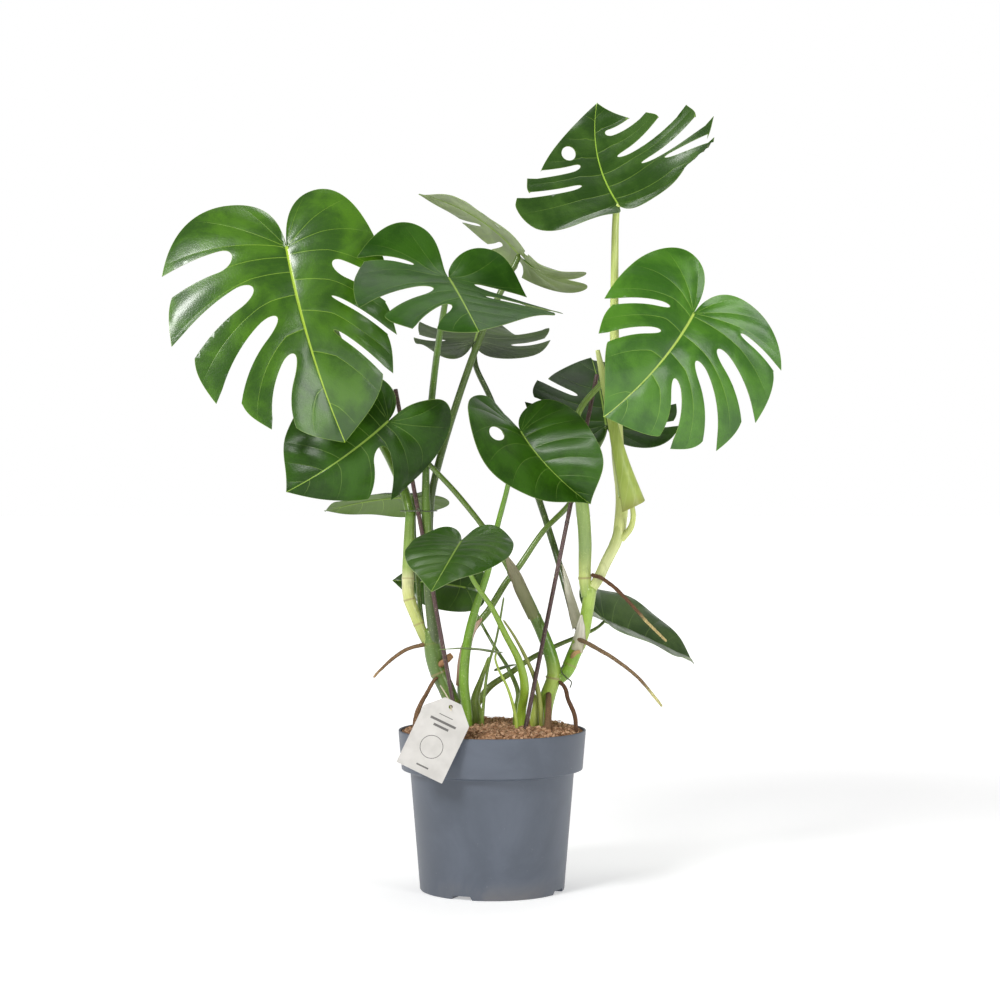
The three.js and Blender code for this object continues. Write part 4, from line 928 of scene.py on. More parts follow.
def makeStalkMaterial(name, tints, scar=(150, 136, 84), gloss=0.28, seed=0.0, streaks=1.0, strength=0.22):
    made, tree = newMaterial(name, Coat_Weight=0.4, Coat_Roughness=0.18)
    marks = placeGroup(tree, skinStreaks, **{"Streak Scale": streaks, "Seed": seed})
    share = readOut(tree, "share").outputs["Fac"]
    ring = readOut(tree, "mark").outputs["Fac"]
    body = tintsAlong(tree, share, tints)
    shade = blendColours(tree, fade(tree, marks["Streak"], 0.3, 0.72), (0.84, 0.87, 0.8, 1),
                         (1.05, 1.04, 1.03, 1))
    body = blendColours(tree, 1.0, body, shade, "MULTIPLY")
    deeper = [0.8 * v for v in tints[0][1]]
    body = layered(
        tree, body, (times(tree, fade(tree, marks["Blotch"], 0.5, 0.72), 0.4), deeper),
        (times(tree, marks["Speck"], 0.35), (206, 214, 150)),
        (times(tree, fade(tree, ring, 0.25, 0.9), 0.8), scar))
    polish = plus(tree, gloss, times(tree, marks["Blotch"], 0.2))
    return dressed(made, body, marks["Height"], strength, 0.0012, polish)


soilLevel = 181


def planted(*points):
    return [(points[0][0], points[0][1], soilLevel), *points]


def joined(points, leafName):
    return [*points, leafParts[leafName]["base"]]


stems = dict(
    stem_left=dict(
        route=planted((-46, -4, 222), (-58, -5, 255), (-71, -5, 283), (-77, -5, 312), (-80, -5, 336)),
        radii=(9, 9, 10.5, 10.5, 11.5, 7), rings=((0.36, 1.4, 1.6), (0.62, 0.9, 1.5), (0.86, 0.8, 1.6)),
        tints=((0, (128, 156, 52)), (0.3, (116, 146, 50)), (0.62, (92, 124, 52)), (1, (110, 136, 66))),
        seed=0.4),
    stem_middle=dict(
        route=planted((66, -4, 222), (72, -5, 250), (79, -5, 273), (75, -5, 299), (57, -3, 344),
            (33, -1, 392), (22, 0, 412)),
        radii=(10, 10.5, 9.5, 8.5, 7.5, 7.5, 6.5), rings=((0.37, 1.5, 1.6), (0.7, 0.7, 1.4)),
        tints=((0, (170, 194, 68)), (0.2, (146, 184, 52)), (0.36, (176, 200, 84)), (0.5, (104, 150, 36)),
            (0.8, (104, 128, 62)), (1, (120, 126, 86))),
        seed=1.7),
    stem_right=dict(
        route=[(82, -4, 266), (96, -3, 280), (105, -2, 301), (115, 0, 323), (121, 0, 350), (127, 0, 390)],
        radii=(8, 9, 9, 8.5, 8, 8.5), rings=((0.42, 1.2, 1.6), (0.2, 0.6, 1.2)),
        tints=((0, (134, 178, 40)), (0.3, (130, 174, 38)), (0.48, (180, 204, 92)), (0.62, (160, 194, 66)),
            (1, (178, 200, 104))),
        seed=2.9),
    branch_left=dict(
        route=[(-78, -5, 306), (-88, -4, 325), (-98, -2, 349), (-107, 0, 374), (-108, 2, 402),
            (-105, 5, 486)],
        radii=(6, 7, 7.8, 7.8, 7, 6.6), rings=((0.2, 0.7, 1.4), (0.38, 0.8, 1.4), (0.52, 0.7, 1.4)),
        tints=((0, (126, 146, 60)), (0.2, (190, 198, 112)), (0.38, (206, 210, 128)),
            (0.52, (222, 220, 166)), (0.6, (150, 174, 88)), (1, (104, 142, 52))),
        seed=3.3),
    branch_right=dict(
        route=[(122, 0, 376), (135, 0, 395), (146, 0, 418), (160, 2, 447), (165, 5, 470)],
        radii=(6, 7, 7.2, 7.4, 7.2), rings=((0.72, 0.7, 1.4),),
        tints=((0, (196, 208, 124)), (0.4, (226, 230, 168)), (1, (206, 218, 132))), seed=4.6))


def stalkFinish(name, line, **how):
    tints = line.get("tints") or ((0, line["low"]), (1, line["high"]))
    return makeStalkMaterial(name, tints, seed=line["seed"], **how)


# Sweeps every line of a table into its own piece. seeds is the first seed and the step to the next.
def sweepAll(table, slotName, suffix, makeFinish, seeds=(0.0, 0.0), spacing=3.0, **how):
    for number, (name, line) in enumerate(table.items()):
        line = {"seed": seeds[0] + seeds[1] * number, "spacing": spacing, **line}
        piece = sweptPiece(name + suffix, [line], makeFinish(name, line), seed=line["seed"], **how)
        finishPiece(piece, slotName, name)
    print(slotName, len(table), "swept")


sweepAll(stems, "stem_green", "Skin", lambda name, line: stalkFinish(name + "Skin", line),
         sides=28, lumps=0.7, lumpScale=55)

stalks = dict(
    petiole_a=dict(
        route=joined([(-105, 5, 480), (-113, 16, 508), (-130, 36, 546), (-154, 42, 592), (-182, 34, 664),
            (-217, -8, 748), (-250, -62, 802)], "leaf_a"),
        radii=(6.5, 6, 5, 4.2, 3.6), low=(110, 146, 50), high=(96, 132, 40)),
    petiole_b=dict(
        route=joined([(-74, -6, 302), (-75, -8, 326), (-79, -6, 370), (-82, 0, 421), (-84, 3, 463),
            (-85, 3, 538), (-77, 0, 633), (-69, -34, 690), (-57, -98, 748)], "leaf_b"),
        radii=(7.0, 7.6, 7.2, 4.7, 4.5, 4.3, 4, 3.4),
        tints=((0, (92, 108, 66)), (0.18, (84, 104, 60)), (0.24, (112, 140, 60)), (0.5, (82, 118, 36)),
            (1, (98, 132, 44)))),
    petiole_c=dict(
        route=joined([(-75, 0, 300), (-76, 9, 322), (-78, 16, 369), (-81, 20, 440), (-79, 20, 500),
            (-68, 20, 550), (-36, 20, 653), (-9, 20, 724), (20, 20, 785), (31, 20, 806)], "leaf_c"),
        radii=(4.5, 4.8, 4.8, 4.5, 3.8), low=(64, 90, 24), high=(92, 116, 46)),
    petiole_d=dict(
        route=joined([(115, 2, 324), (107, 14, 341), (97, 36, 378), (79, 60, 443), (49, 74, 530),
            (15, 80, 592), (-6, 80, 640), (-22, 79, 675), (-24, 79, 697)], "leaf_d"),
        radii=(4.5, 4.5, 4, 3.6), low=(58, 82, 22), high=(66, 90, 28)),
    petiole_e=dict(
        route=joined([(27, 0, 400), (19, -1, 415), (5, -4, 440), (-14, -8, 467), (-48, -10, 509),
            (-81, -8, 544), (-104, -6, 569), (-117, -17, 582)], "leaf_e"),
        radii=(4.5, 3.6, 3.4, 2.8), low=(104, 130, 52), high=(70, 100, 26)),
    petiole_f=dict(
        route=joined([(-72, 0, 284), (-80, 11, 299), (-91, 22, 340), (-97, 27, 400), (-101, 32, 440),
            (-103, 56, 476), (-103, 77, 497)], "leaf_f"),
        radii=(3.4, 3.2, 3), low=(104, 134, 48), high=(90, 120, 40)),
    petiole_g=dict(
        route=joined(planted((-32, -24, 226), (-36, -27, 270), (-31, -30, 320), (-22, -33, 357),
            (-6, -38, 406), (7, -44, 466), (19, -50, 512), (30, -58, 565)), "leaf_g"),
        radii=(6.5, 6.4, 4.6, 3.4, 2.8), low=(132, 176, 44), high=(92, 134, 28)),
    petiole_h=dict(
        route=joined(planted((37, -20, 226), (41, -38, 262), (34, -52, 295), (17, -66, 329), (-1, -78, 365),
            (-24, -88, 400), (-34, -92, 428)), "leaf_h"),
        radii=(6, 6, 4, 3, 2.6), low=(164, 196, 62), high=(112, 152, 36)),
    petiole_i=dict(
        route=joined(planted((30, -2, 226), (33, -4, 251), (21, 4, 281), (5, 22, 305), (-14, 40, 337),
            (-29, 54, 366)), "leaf_i"),
        radii=(3.5, 3, 2, 1.7), low=(120, 146, 56), high=(84, 112, 36)),
    petiole_k=dict(
        route=joined([(122, 0, 374), (119, 1, 394), (119, -1, 447), (115, -9, 492), (106, -8, 556),
            (110, 4, 608), (138, 6, 645), (160, -3, 664), (189, -14, 688), (234, -24, 719), (247, -36,
            724)], "leaf_k"),
        radii=(7.5, 8.6, 8.8, 7.4, 4.2, 3.8, 3.6, 3.4, 3.2), rings=((0.055, 1.1, 1.5),),
        tints=((0, (150, 178, 84)), (0.06, (196, 208, 124)), (0.14, (140, 166, 92)), (0.3, (150, 178, 86)),
            (1, (110, 150, 48)))),
    petiole_l=dict(
        route=joined(planted((-39, 26, 224), (-40, 22, 265), (-29, 18, 324), (-5, 18, 355), (19, 22, 393),
            (34, 26, 411), (66, 34, 457), (103, 48, 496), (138, 70, 566), (146, 75, 582)), "leaf_l"),
        radii=(5.5, 5, 4.5, 3.8, 3.6, 3.2), low=(122, 150, 56), high=(82, 112, 34)),
    petiole_n=dict(
        route=joined(planted((-24, 16, 222), (-5, 18, 255), (23, 20, 274), (50, 22, 293), (80, 24, 308),
            (114, 30, 322), (132, 52, 328), (144, 80, 334)), "leaf_n"),
        radii=(4.5, 4.5, 3.5, 2.6, 2.2), low=(132, 150, 66), high=(104, 130, 50)),
    petiole_o=dict(
        route=joined(planted((30, -58, 222), (20, -62, 261), (8, -62, 286), (4, -61, 300)), "leaf_o"),
        radii=(2.5, 2, 1.2), low=(176, 198, 72), high=(160, 184, 66)),
    petiole_j=dict(
        route=joined([(163, 4, 452), (167, 8, 498), (162, 13, 560), (158, 17, 692), (158, 19, 782),
            (160, 20, 868)], "leaf_j"),
        radii=(8.2, 8.4, 6.4, 5.2, 4.4), low=(232, 238, 158), high=(206, 222, 124)),
    petiole_m=dict(
        route=[(166, 2, 448), (177, -6, 462), (180, -16, 478), (176, -20, 500)], radii=(5, 4, 3.4, 3),
        low=(214, 222, 134), high=(196, 208, 112)),
    petiole_spare=dict(
        route=planted((62, -27, 226), (56, -28, 265), (46, -31, 291), (29, -38, 324), (14, -46, 347)),
        radii=(3.2, 3.4, 2.4, 1.2), low=(166, 176, 74), high=(150, 156, 80)),
    petiole_thin=dict(
        route=joined(planted((-12, -16, 222), (-5, -17, 285), (5, -18, 320), (10, -20, 345),
            (15, -22, 375)), "leaf_p")[:-1],
        radii=(2.4, 2, 1.6, 1.2), low=(130, 156, 60), high=(110, 136, 50)))
sweepAll(stalks, "stalk_green", "Skin", lambda name, line: stalkFinish(name + "Skin", line), seeds=(6.3, 1.3),
         sides=18, lumps=0.25, lumpScale=40)

sheaths = dict(
    sheath_left=dict(
        route=planted((-19, -2, 222), (-22, -3, 242), (-14, -5, 268), (-4, -8, 298)),
        radii=(7, 7.5, 4, 1.5), low=(140, 168, 66), high=(150, 172, 76), seed=30.5),
    sheath_right=dict(
        route=planted((54, -20, 222), (55, -21, 236), (54, -22, 252)), radii=(6.2, 6.4, 1.5),
        low=(186, 204, 84), high=(200, 214, 104), seed=31.5))
sweepAll(sheaths, "stalk_green", "Skin", lambda name, line: stalkFinish(name + "Skin", line, streaks=2.0),
         sides=24, lumps=0.4)


# Air roots: barky skin with fine cracks, paler towards a growing tip.
def makeBarkMaterial(name, line):
    body, tip, tipFrom = line["body"], line["tip"], line["tipFrom"]
    made, tree = newMaterial(name + "Bark", 0.85)
    marks = placeGroup(tree, skinStreaks, **{"Streak Scale": 1.8, "Seed": line["seed"]})
    here = objectSpace(tree)
    cracks = addNode(tree, "ShaderNodeTexVoronoi", {"Vector": here, "Scale": 420.0},
                     feature="DISTANCE_TO_EDGE")
    share = readOut(tree, "share").outputs["Fac"]
    colour = mottled(tree, marks["Streak"], 0.3, 0.7, [0.7 * v for v in body], body)
    colour = layered(
        tree, colour, (fade(tree, cracks.outputs["Distance"], 0.0, 0.12, 0.35, 0.0), (74, 52, 36)),
        (fade(tree, share, tipFrom, tipFrom + 0.14), tip))
    rise = plus(tree, marks["Height"], fade(tree, cracks.outputs["Distance"], 0.0, 0.2))
    return dressed(made, colour, rise, 0.8, 0.0015)


airRoots = dict(
    air_root_1=dict(
        route=[(-80, -5, 314), (-92, -9, 312), (-107, -12, 308), (-124, -18, 298), (-143, -26, 281),
            (-151, -28, 272)],
        radii=(2.8, 2.4, 1.6), body=(178, 142, 102), tip=(196, 162, 118), tipFrom=0.8),
    air_root_2=dict(
        route=planted((-96, -44, 222), (-91, -40, 238), (-81, -28, 256), (-74, -18, 268), (-66, -8, 274)),
        radii=(4, 3.6, 2.6, 2.2), body=(172, 132, 94), tip=(180, 140, 100), tipFrom=0.95),
    air_root_3=dict(
        route=[(128, -2, 402), (140, -12, 398), (154, -15, 388), (169, -18, 374), (195, -22, 345),
            (222, -26, 318)],
        radii=(2.6, 2.4, 2, 1.6), body=(140, 100, 68), tip=(214, 192, 130), tipFrom=0.6),
    air_root_4=dict(
        route=[(108, -4, 320), (118, -14, 317), (137, -22, 307), (157, -28, 295), (185, -38, 273),
            (215, -44, 237)],
        radii=(3, 2.6, 2.2, 1.6), body=(176, 146, 108), tip=(228, 220, 150), tipFrom=0.74),
    air_root_5=dict(
        route=planted((106, -26, 218), (103, -24, 230), (97, -20, 243), (93, -16, 258), (84, -8, 268)),
        radii=(2.8, 2.8, 2.6), body=(144, 104, 74), tip=(150, 112, 80), tipFrom=0.95),
    air_root_6=dict(
        route=planted((70, -46, 210), (71, -36, 222), (72, -22, 242), (72, -12, 252)),
        radii=(4.5, 4.8, 4, 3.4), body=(170, 130, 92), tip=(142, 104, 68), tipFrom=0.95))
sweepAll(airRoots, "air_root", "Bark", makeBarkMaterial, seeds=(40.0, 1.0), spacing=1.6, sides=14, lumps=0.8,
         lumpScale=150)

# Support sticks: split bamboo stained purple brown, with faint joints.
sticks = dict(
    stick_left=dict(
        route=[(-38, -46, soilLevel), (-81, -14, 410), (-125, 18, 641)], radii=(2.8, 2.8),
        rings=((0.31, 0.35, 1.2), (0.68, 0.35, 1.2))),
    stick_right=dict(
        route=[(36, -50, soilLevel), (86, -7, 421), (136, 36, 661)], radii=(2.8, 2.8),
        rings=((0.24, 0.35, 1.2), (0.6, 0.35, 1.2))))
stain = dict(low=(82, 54, 54), high=(92, 62, 64), roundEnd=False)
sweepAll({name: {**stick, **stain} for name, stick in sticks.items()}, "stick", "Cane",
         lambda name, line: stalkFinish(name + "Stain", line, scar=(58, 40, 40), gloss=0.38, streaks=2.4,
                                        strength=0.5),
         seeds=(50.0, 1.0), sides=16, lumps=0.12, lumpScale=90)


# Thin threads: the ties' coated wire and the tag's cotton string.
def makeThreadMaterial(name, roughness, coat, streaks, seed, low, high, strength):
    made, tree = newMaterial(name, roughness, Coat_Weight=coat)
    marks = placeGroup(tree, skinStreaks, **{"Streak Scale": streaks, "Seed": seed})
    colour = mottled(tree, marks["Streak"], 0.3, 0.7, low, high)
    return dressed(made, colour, marks["Height"], strength, 0.0004)


ties = dict(
    tie_left=dict(
        route=[(-92, -16, 484), (-112, -8, 484), (-117, 6, 484), (-104, 18, 484), (-82, 29, 484),
            (-72, 20, 484), (-76, -4, 484), (-88, -18, 484), (-96, -22, 488)],
        radii=(0.8, 0.8)),
    tie_right=dict(
        route=[(92, -15, 288), (88, -14, 280), (94, -16, 272), (101, -18, 266), (99, -18, 258)],
        radii=(0.8, 0.8)))
tieFinish = makeThreadMaterial("tieWireCoat", 0.4, 0.2, 3.0, 60.0, (52, 62, 40), (84, 96, 62), 0.3)
sweepAll(ties, "tie_wire", "Wire", lambda name, line: tieFinish, spacing=1.2, sides=10)


# Two skins over a grid of rows and columns, closed around their border.
def wrapSkins(name, skins, across, along):
    rows, columns = skins[0].shape[:2]
    count = rows * columns
    index = np.arange(count).reshape(rows, columns)
    faces = []
    for i in range(rows - 1):
        for j in range(columns - 1):
            a, b, c, d = index[i, j], index[i, j + 1], index[i + 1, j + 1], index[i + 1, j]
            faces += [(a, b, c, d), (d + count, c + count, b + count, a + count)]
    border = [*index[0, :-1], *index[:-1, -1], *index[-1, :0:-1], *index[:0:-1, 0]]
    for a, b in zip(border, [*border[1:], border[0]]):
        faces.append((b, a, a + count, b + count))
    piece = newPiece(name, np.concatenate([s.reshape(-1, 3) for s in skins]), faces)
    sharpenLoops(piece.data, [np.array(border), np.array(border) + count])
    faceOutwards(piece)
    place = np.stack([across, along, np.zeros((rows, columns))], axis=-1).reshape(-1, 3)
    storeAttribute(piece.data, "rollPlace", np.concatenate([place, place]), "FLOAT_VECTOR")
    return piece


def framesAlong(route):
    tangent = np.gradient(route, axis=0)
    tangent /= np.linalg.norm(tangent, axis=1)[:, None]
    across = np.array([1.0, 0, 0]) - tangent * tangent[:, :1]
    across /= np.linalg.norm(across, axis=1)[:, None]
    return tangent, across, np.cross(tangent, across)


# Dry papery sheaths: open sleeves round the stems, narrowing to a ragged point.
paperSheaths = dict(
    sheathMiddle=dict(
        route=[(54, -3, 348), (43, -2, 371), (30, -1, 397), (15, -1, 426)], radii=(7.9, 8.2, 8.3, 6.8),
        facing=-70, spread=(120, 14), low=(126, 132, 84), high=(146, 140, 112), slot="stem_green"),
    sheathNode=dict(
        route=[(108, -2, 304), (115, 0, 324), (119, 1, 350)], radii=(9.4, 9.2, 8.8), facing=-120,
        spread=(84, 8), low=(206, 200, 168), high=(232, 228, 214), slot="stem_green"),
    sheathStalkD=dict(
        route=[(111, 8, 332), (103, 26, 362), (95, 38, 388), (88, 48, 412)], radii=(7.6, 6.6, 5.6, 4.9),
        facing=-60, spread=(120, 8), low=(196, 190, 164), high=(228, 224, 208), slot="stalk_green"),
    sheathStalkL=dict(
        route=[(-40, 23, 258), (-37, 20, 292), (-28, 18, 326), (-14, 18, 346)], radii=(7.0, 6.6, 5.8, 5.2),
        facing=-85, spread=(120, 12), low=(168, 128, 96), high=(214, 184, 164), slot="stalk_green"),
    scarLeft=dict(
        route=[(-69, -10, 284), (-63, -15, 291), (-57, -17, 296), (-52, -15, 300)],
        radii=(2.5, 4.2, 4.6, 3.4), facing=-60, spread=(120, 60), low=(140, 100, 66), high=(196, 146, 104),
        slot="stem_green"),
    scarRight=dict(
        route=[(101, -9, 296), (106, -12, 303), (112, -13, 306)], radii=(2.0, 3.0, 2.2), facing=-70,
        spread=(110, 50), low=(150, 116, 74), high=(196, 160, 104), slot="stem_green"))


def buildPaperSheath(name, sheath, seed):
    route, run = smoothRoute(sheath["route"], 1.4)
    t = run / run[-1]
    _, across, deep = framesAlong(route)
    u = np.linspace(-1, 1, 41)
    spread = np.radians(sheath["spread"][0] + (sheath["spread"][1] - sheath["spread"][0]) * t ** 1.4)
    angle = math.radians(sheath["facing"]) + u[None] * spread[:, None] * (1 + 0.05 * np.sin(17 * t + seed))[:,
        None]
    girth = np.interp(t, np.linspace(0, 1, len(sheath["radii"])), sheath["radii"])[:, None]
    girth = girth + 0.35 * np.sin(9 * u + seed)[None] * t[:, None] + 0.9 * np.abs(u)[None] ** 4 * t[:, None]
    skins = []
    for way in (0.25, -0.25):
        reach = girth + way
        skins.append(route[:, None] + across[:, None] * (reach * np.cos(angle))[..., None]
                     + deep[:, None] * (reach * np.sin(angle))[..., None])
    return wrapSkins(name, skins, np.tile(u, (len(t), 1)), np.tile(t[:, None], (1, len(u))))


def makePaperMaterial(name, low, high):
    made, tree = newMaterial(name, 0.62)
    lane, share, _ = separate(tree, readOut(tree, "rollPlace").outputs["Vector"])
    stretched = combine(tree, times(tree, lane, 9.0), share)
    threads = grain(tree, stretched, 3.0, 4.0, 0.6)
    blotch = grain(tree, objectSpace(tree), 150.0, 3.0)
    body = mottled(tree, plus(tree, share, times(tree, blotch, 0.4)), 0.1, 1.1, low, high)
    body = layered(tree, body, (fade(tree, threads, 0.5, 0.72, 0.0, 0.5), [0.6 * v for v in low]))
    dry = times(tree, fade(tree, sums(tree, "ABSOLUTE", lane), 0.8, 1.0), 0.6)
    body = layered(tree, body, (dry, (116, 84, 54)))
    return dressed(made, body, threads, 0.5, 0.0008)


for number, (sheathName, sheath) in enumerate(paperSheaths.items()):
    paperPiece = buildPaperSheath(sheathName, sheath, 2.0 * number)
    finishPiece(paperPiece, sheath["slot"],
                material=makePaperMaterial(sheathName + "Paper", sheath["low"], sheath["high"]))
print("papery sheaths made")


# Young rolled leaf: one sheet wound around its own axis, opening towards the bottom.
rolledLeaf = dict(
    axis=[(134, -20, 689), (147, -20, 625), (160, -20, 562), (172, -20, 515)], winding=1.35, sheet=0.6,
    spacing=2.0, turns=110, neck=3.2, belly=3.0, flare=14.0, inner=0.5, slide=30.0, start=2.4)


def buildRolledLeaf():
    r = rolledLeaf
    route, run = smoothRoute(r["axis"], r["spacing"])
    t = run / run[-1]
    tangent, across, deep = framesAlong(route)
    wound = np.linspace(0, 1, r["turns"] + 1)
    radius = r["neck"] + r["belly"] * np.sin(np.minimum(t / 0.3, 1) * math.pi / 2) + r["flare"] * t ** 3
    angle = r["start"] - r["winding"] * 2 * math.pi * wound
    crinkle = 0.25 * np.sin(26 * wound[None] + 3 * t[:, None]) * t[:, None]
    skins = []
    for way in (0.5, -0.5):
        girth = radius[:, None] * (1 - r["inner"] * wound)[None] + way * r["sheet"] + crinkle
        skins.append(route[:, None] + across[:, None] * (girth * np.cos(angle))[..., None]
                     + deep[:, None] * (girth * np.sin(angle))[..., None]
                     + tangent[:, None] * (r["slide"] * t[:, None] ** 2 * (1 - wound)[None])[..., None])
    across = np.tile(wound, (len(t), 1))
    return wrapSkins("leaf_mRolledBlade", skins, across, np.tile(t[:, None], (1, len(wound))))


def makeRolledMaterial():
    made, tree = newMaterial("youngLeafGreen", 0.38, Coat_Weight=0.2, Coat_Roughness=0.3)
    wound, share, _ = separate(tree, readOut(tree, "rollPlace").outputs["Vector"])
    lanes = plus(tree, times(tree, wound, 11.0), times(tree, share, 9.0))
    vein = fade(tree, offWhole(tree, lanes), 0.0, 0.1, 1.0, 0.0)
    mottle = grain(tree, objectSpace(tree, (1, 1, 0.3)), 60.0, 4.0, 0.6, 0.4)
    body = mottled(tree, mottle, 0.3, 0.7, (160, 182, 78), (186, 204, 104))
    body = layered(
        tree, body, (fade(tree, share, 0.35, 0.0), (206, 216, 138)),
        (times(tree, vein, 0.22), (222, 232, 158)))
    rim = times(tree, fade(tree, wound, 0.02, 0.0), fade(tree, share, 0.35, 0.8))
    dry = sums(tree, "MAXIMUM", rim, times(tree, fade(tree, share, 0.93, 1.0), fade(tree, wound, 0.5, 0.1)))
    body = layered(tree, body, (times(tree, dry, 0.5), (140, 130, 66)))
    return dressed(made, body, plus(tree, vein, mottle), 0.3, 0.0006)


rolledPiece = buildRolledLeaf()
finishPiece(rolledPiece, "young_leaf", "leaf_m", material=makeRolledMaterial())
print("rolled leaf", len(rolledPiece.data.polygons), "faces")


# Pot: one turned shape, notched and drilled underneath.
pot = dict(
    height=204, rimTop=120, rimBottom=116, band=50, bodyTop=105, foot=92.5, wall=2.2, floor=7, around=192,
    notches=4, notchWidth=30, notchHeight=5, notchLength=30, notchAngle=-24.5, drain=6)


def turned(outline, around):
    outline = np.array(outline, float)
    turn = np.linspace(0, 2 * math.pi, around, endpoint=False)
    points = np.concatenate([
        np.stack([r * np.cos(turn), r * np.sin(turn), np.full(around, z)], axis=1) for r, z in outline])
    faces = []
    for row in range(len(outline) - 1):
        for i in range(around):
            a, b = row * around + i, row * around + (i + 1) % around
            faces.append((a, b, b + around, a + around))
    last = (len(outline) - 1) * around
    faces.append(tuple(range(around))[::-1])
    faces.append(tuple(range(last, last + around)))
    return points, faces


def roundedCorner(corner, before, after, reach, steps=5):
    corner, before, after = (np.array(v, float) for v in (corner, before, after))
    start = corner + (before - corner) / np.linalg.norm(before - corner) * reach
    stop = corner + (after - corner) / np.linalg.norm(after - corner) * reach
    t = np.linspace(0, 1, steps)[:, None]
    return ((1 - t) ** 2 * start + 2 * t * (1 - t) * corner + t * t * stop).tolist()


def buildPot():
    p = pot
    rimBase = p["height"] - p["band"]
    corners = [
        ((p["foot"], 0), 1.6), ((p["bodyTop"], rimBase - 3), 2.0), ((p["rimBottom"], rimBase), 1.2),
        ((p["rimTop"], p["height"] - 4.6), 0.5), ((p["rimTop"] + 0.1, p["height"]), 1.0),
        ((p["rimTop"] - p["wall"] - 0.3, p["height"]), 0.9),
        ((p["rimBottom"] - p["wall"], rimBase + p["wall"]), 1.4),
        ((p["bodyTop"] - p["wall"] + 1.6, rimBase + p["wall"] - 1), 1.5),
        ((p["foot"] + 1 - p["wall"], p["floor"]), 3.0)]
    spots = [(2, 0), *[c for c, _ in corners], (2, p["floor"])]
    outline = [spots[0]]
    for i, (corner, reach) in enumerate(corners, start=1):
        outline += roundedCorner(corner, spots[i - 1], spots[i + 1], reach)
    outline.append(spots[-1])
    piece = newPiece("potShell", *turned(outline, p["around"]))
    faceOutwards(piece)
    cutters = []
    for i in range(p["notches"]):
        turn = math.radians(p["notchAngle"] - 90 + i * 360 / p["notches"])
        out = np.array([math.cos(turn), math.sin(turn), 0])
        side = np.array([-out[1], out[0], 0])
        near, far, half = p["foot"] + 4 - p["notchLength"], p["foot"] + 4, p["notchWidth"] / 2
        points = [out * r + side * s + np.array([0, 0, z]) for r in (near, far)
                  for s, z in ((-half, -1), (half, -1), (half - 3, p["notchHeight"]),
                               (3 - half, p["notchHeight"]))]
        faces = [(0, 1, 2, 3), (7, 6, 5, 4), (0, 4, 5, 1), (1, 5, 6, 2), (2, 6, 7, 3), (3, 7, 4, 0)]
        cutters.append(newPiece(f"notchCut{i}", points, faces, smooth=False))
        ringPoints, ringFaces = turned([(p["drain"], -2), (p["drain"], p["floor"] + 4)], 24)
        cutters.append(newPiece(f"drainCut{i}", ringPoints + out * (near + p["drain"]), ringFaces,
                                smooth=False))
    for cutter in cutters:
        faceOutwards(cutter)
        cut = piece.modifiers.new(cutter.name, "BOOLEAN")
        cut.operation, cut.solver, cut.object = "DIFFERENCE", "EXACT", cutter
    settle(piece)
    for cutter in cutters:
        bpy.data.objects.remove(cutter)
    piece.data.shade_smooth()
    piece.data.set_sharp_from_angle(angle=math.radians(34))
    return piece


# Light scuffs, dust specks and a film of dirt on moulded plastic.
def makePlasticWear():
    tree, given, result = newGroup("plasticWear", {"Scuff Scale": 60.0, "Dust Scale": 420.0},
                                   ["Scuff", "Dust", "Film", "Height"])
    here = objectSpace(tree)
    flat = objectSpace(tree, (1, 1, 6))
    scratch = fade(tree, grain(tree, flat, given["Scuff Scale"], 6.0, 0.7, 1.5), 0.66, 0.74)
    patch = fade(tree, grain(tree, here, 14.0, 2.0), 0.48, 0.62)
    dust = fade(tree, grain(tree, here, given["Dust Scale"], 2.0, 0.6), 0.74, 0.8)
    film = grain(tree, here, 9.0, 5.0, 0.6, 0.8)
    texture = grain(tree, here, 900.0, 2.0)
    tree.links.new(times(tree, scratch, patch), result["Scuff"])
    tree.links.new(dust, result["Dust"])
    tree.links.new(film, result["Film"])
    tree.links.new(texture, result["Height"])
    return tree


def makePotMaterial():
    made, tree = newMaterial("potPlastic", Specular_IOR_Level=0.45)
    marks = placeGroup(tree, makePlasticWear())
    body = mottled(tree, marks["Film"], 0.35, 0.7, (84, 91, 102), (95, 102, 114))
    body = layered(
        tree, body, (times(tree, marks["Scuff"], 0.35), (160, 166, 178)),
        (times(tree, marks["Dust"], 0.4), (190, 194, 202)))
    up = separate(tree, objectSpace(tree))[2]
    grime = times(tree, fade(tree, up, 0.03, 0.0), fade(tree, marks["Film"], 0.45, 0.65))
    body = layered(tree, body, (times(tree, grime, 0.35), (126, 118, 108)))
    polish = plus(tree, 0.34, times(tree, marks["Film"], 0.16))
    return dressed(made, body, marks["Height"], 0.08, 0.0004, polish)


potPiece = buildPot()
finishPiece(potPiece, "pot_plastic", "pot", material=makePotMaterial())
print("pot", len(potPiece.data.polygons), "faces")

# Soil: a heaped bed of coir, then chips and fibres scattered over it by Geometry Nodes.
# The lower outline follows the pot's inside as pairs of radius and height.
soil = dict(
    around=220, rings=84, centre=208.5, edge=116.4, flatTo=0.62, edgeDrop=7.0, broad=0.7, lumps=5.0,
    seed=11, lower=((112.6, 157.2), (101.6, 155.4), (101.6, 152.0), (90.2, 7.6)), bitsAbove=0.19,
    bitsTilt=0.3, chip=dict(sides=6, size=1.7, slim=0.62, half=0.5),
    fibre=dict(steps=5, length=11, bow=1.6, rise=1.3, girth=0.2))


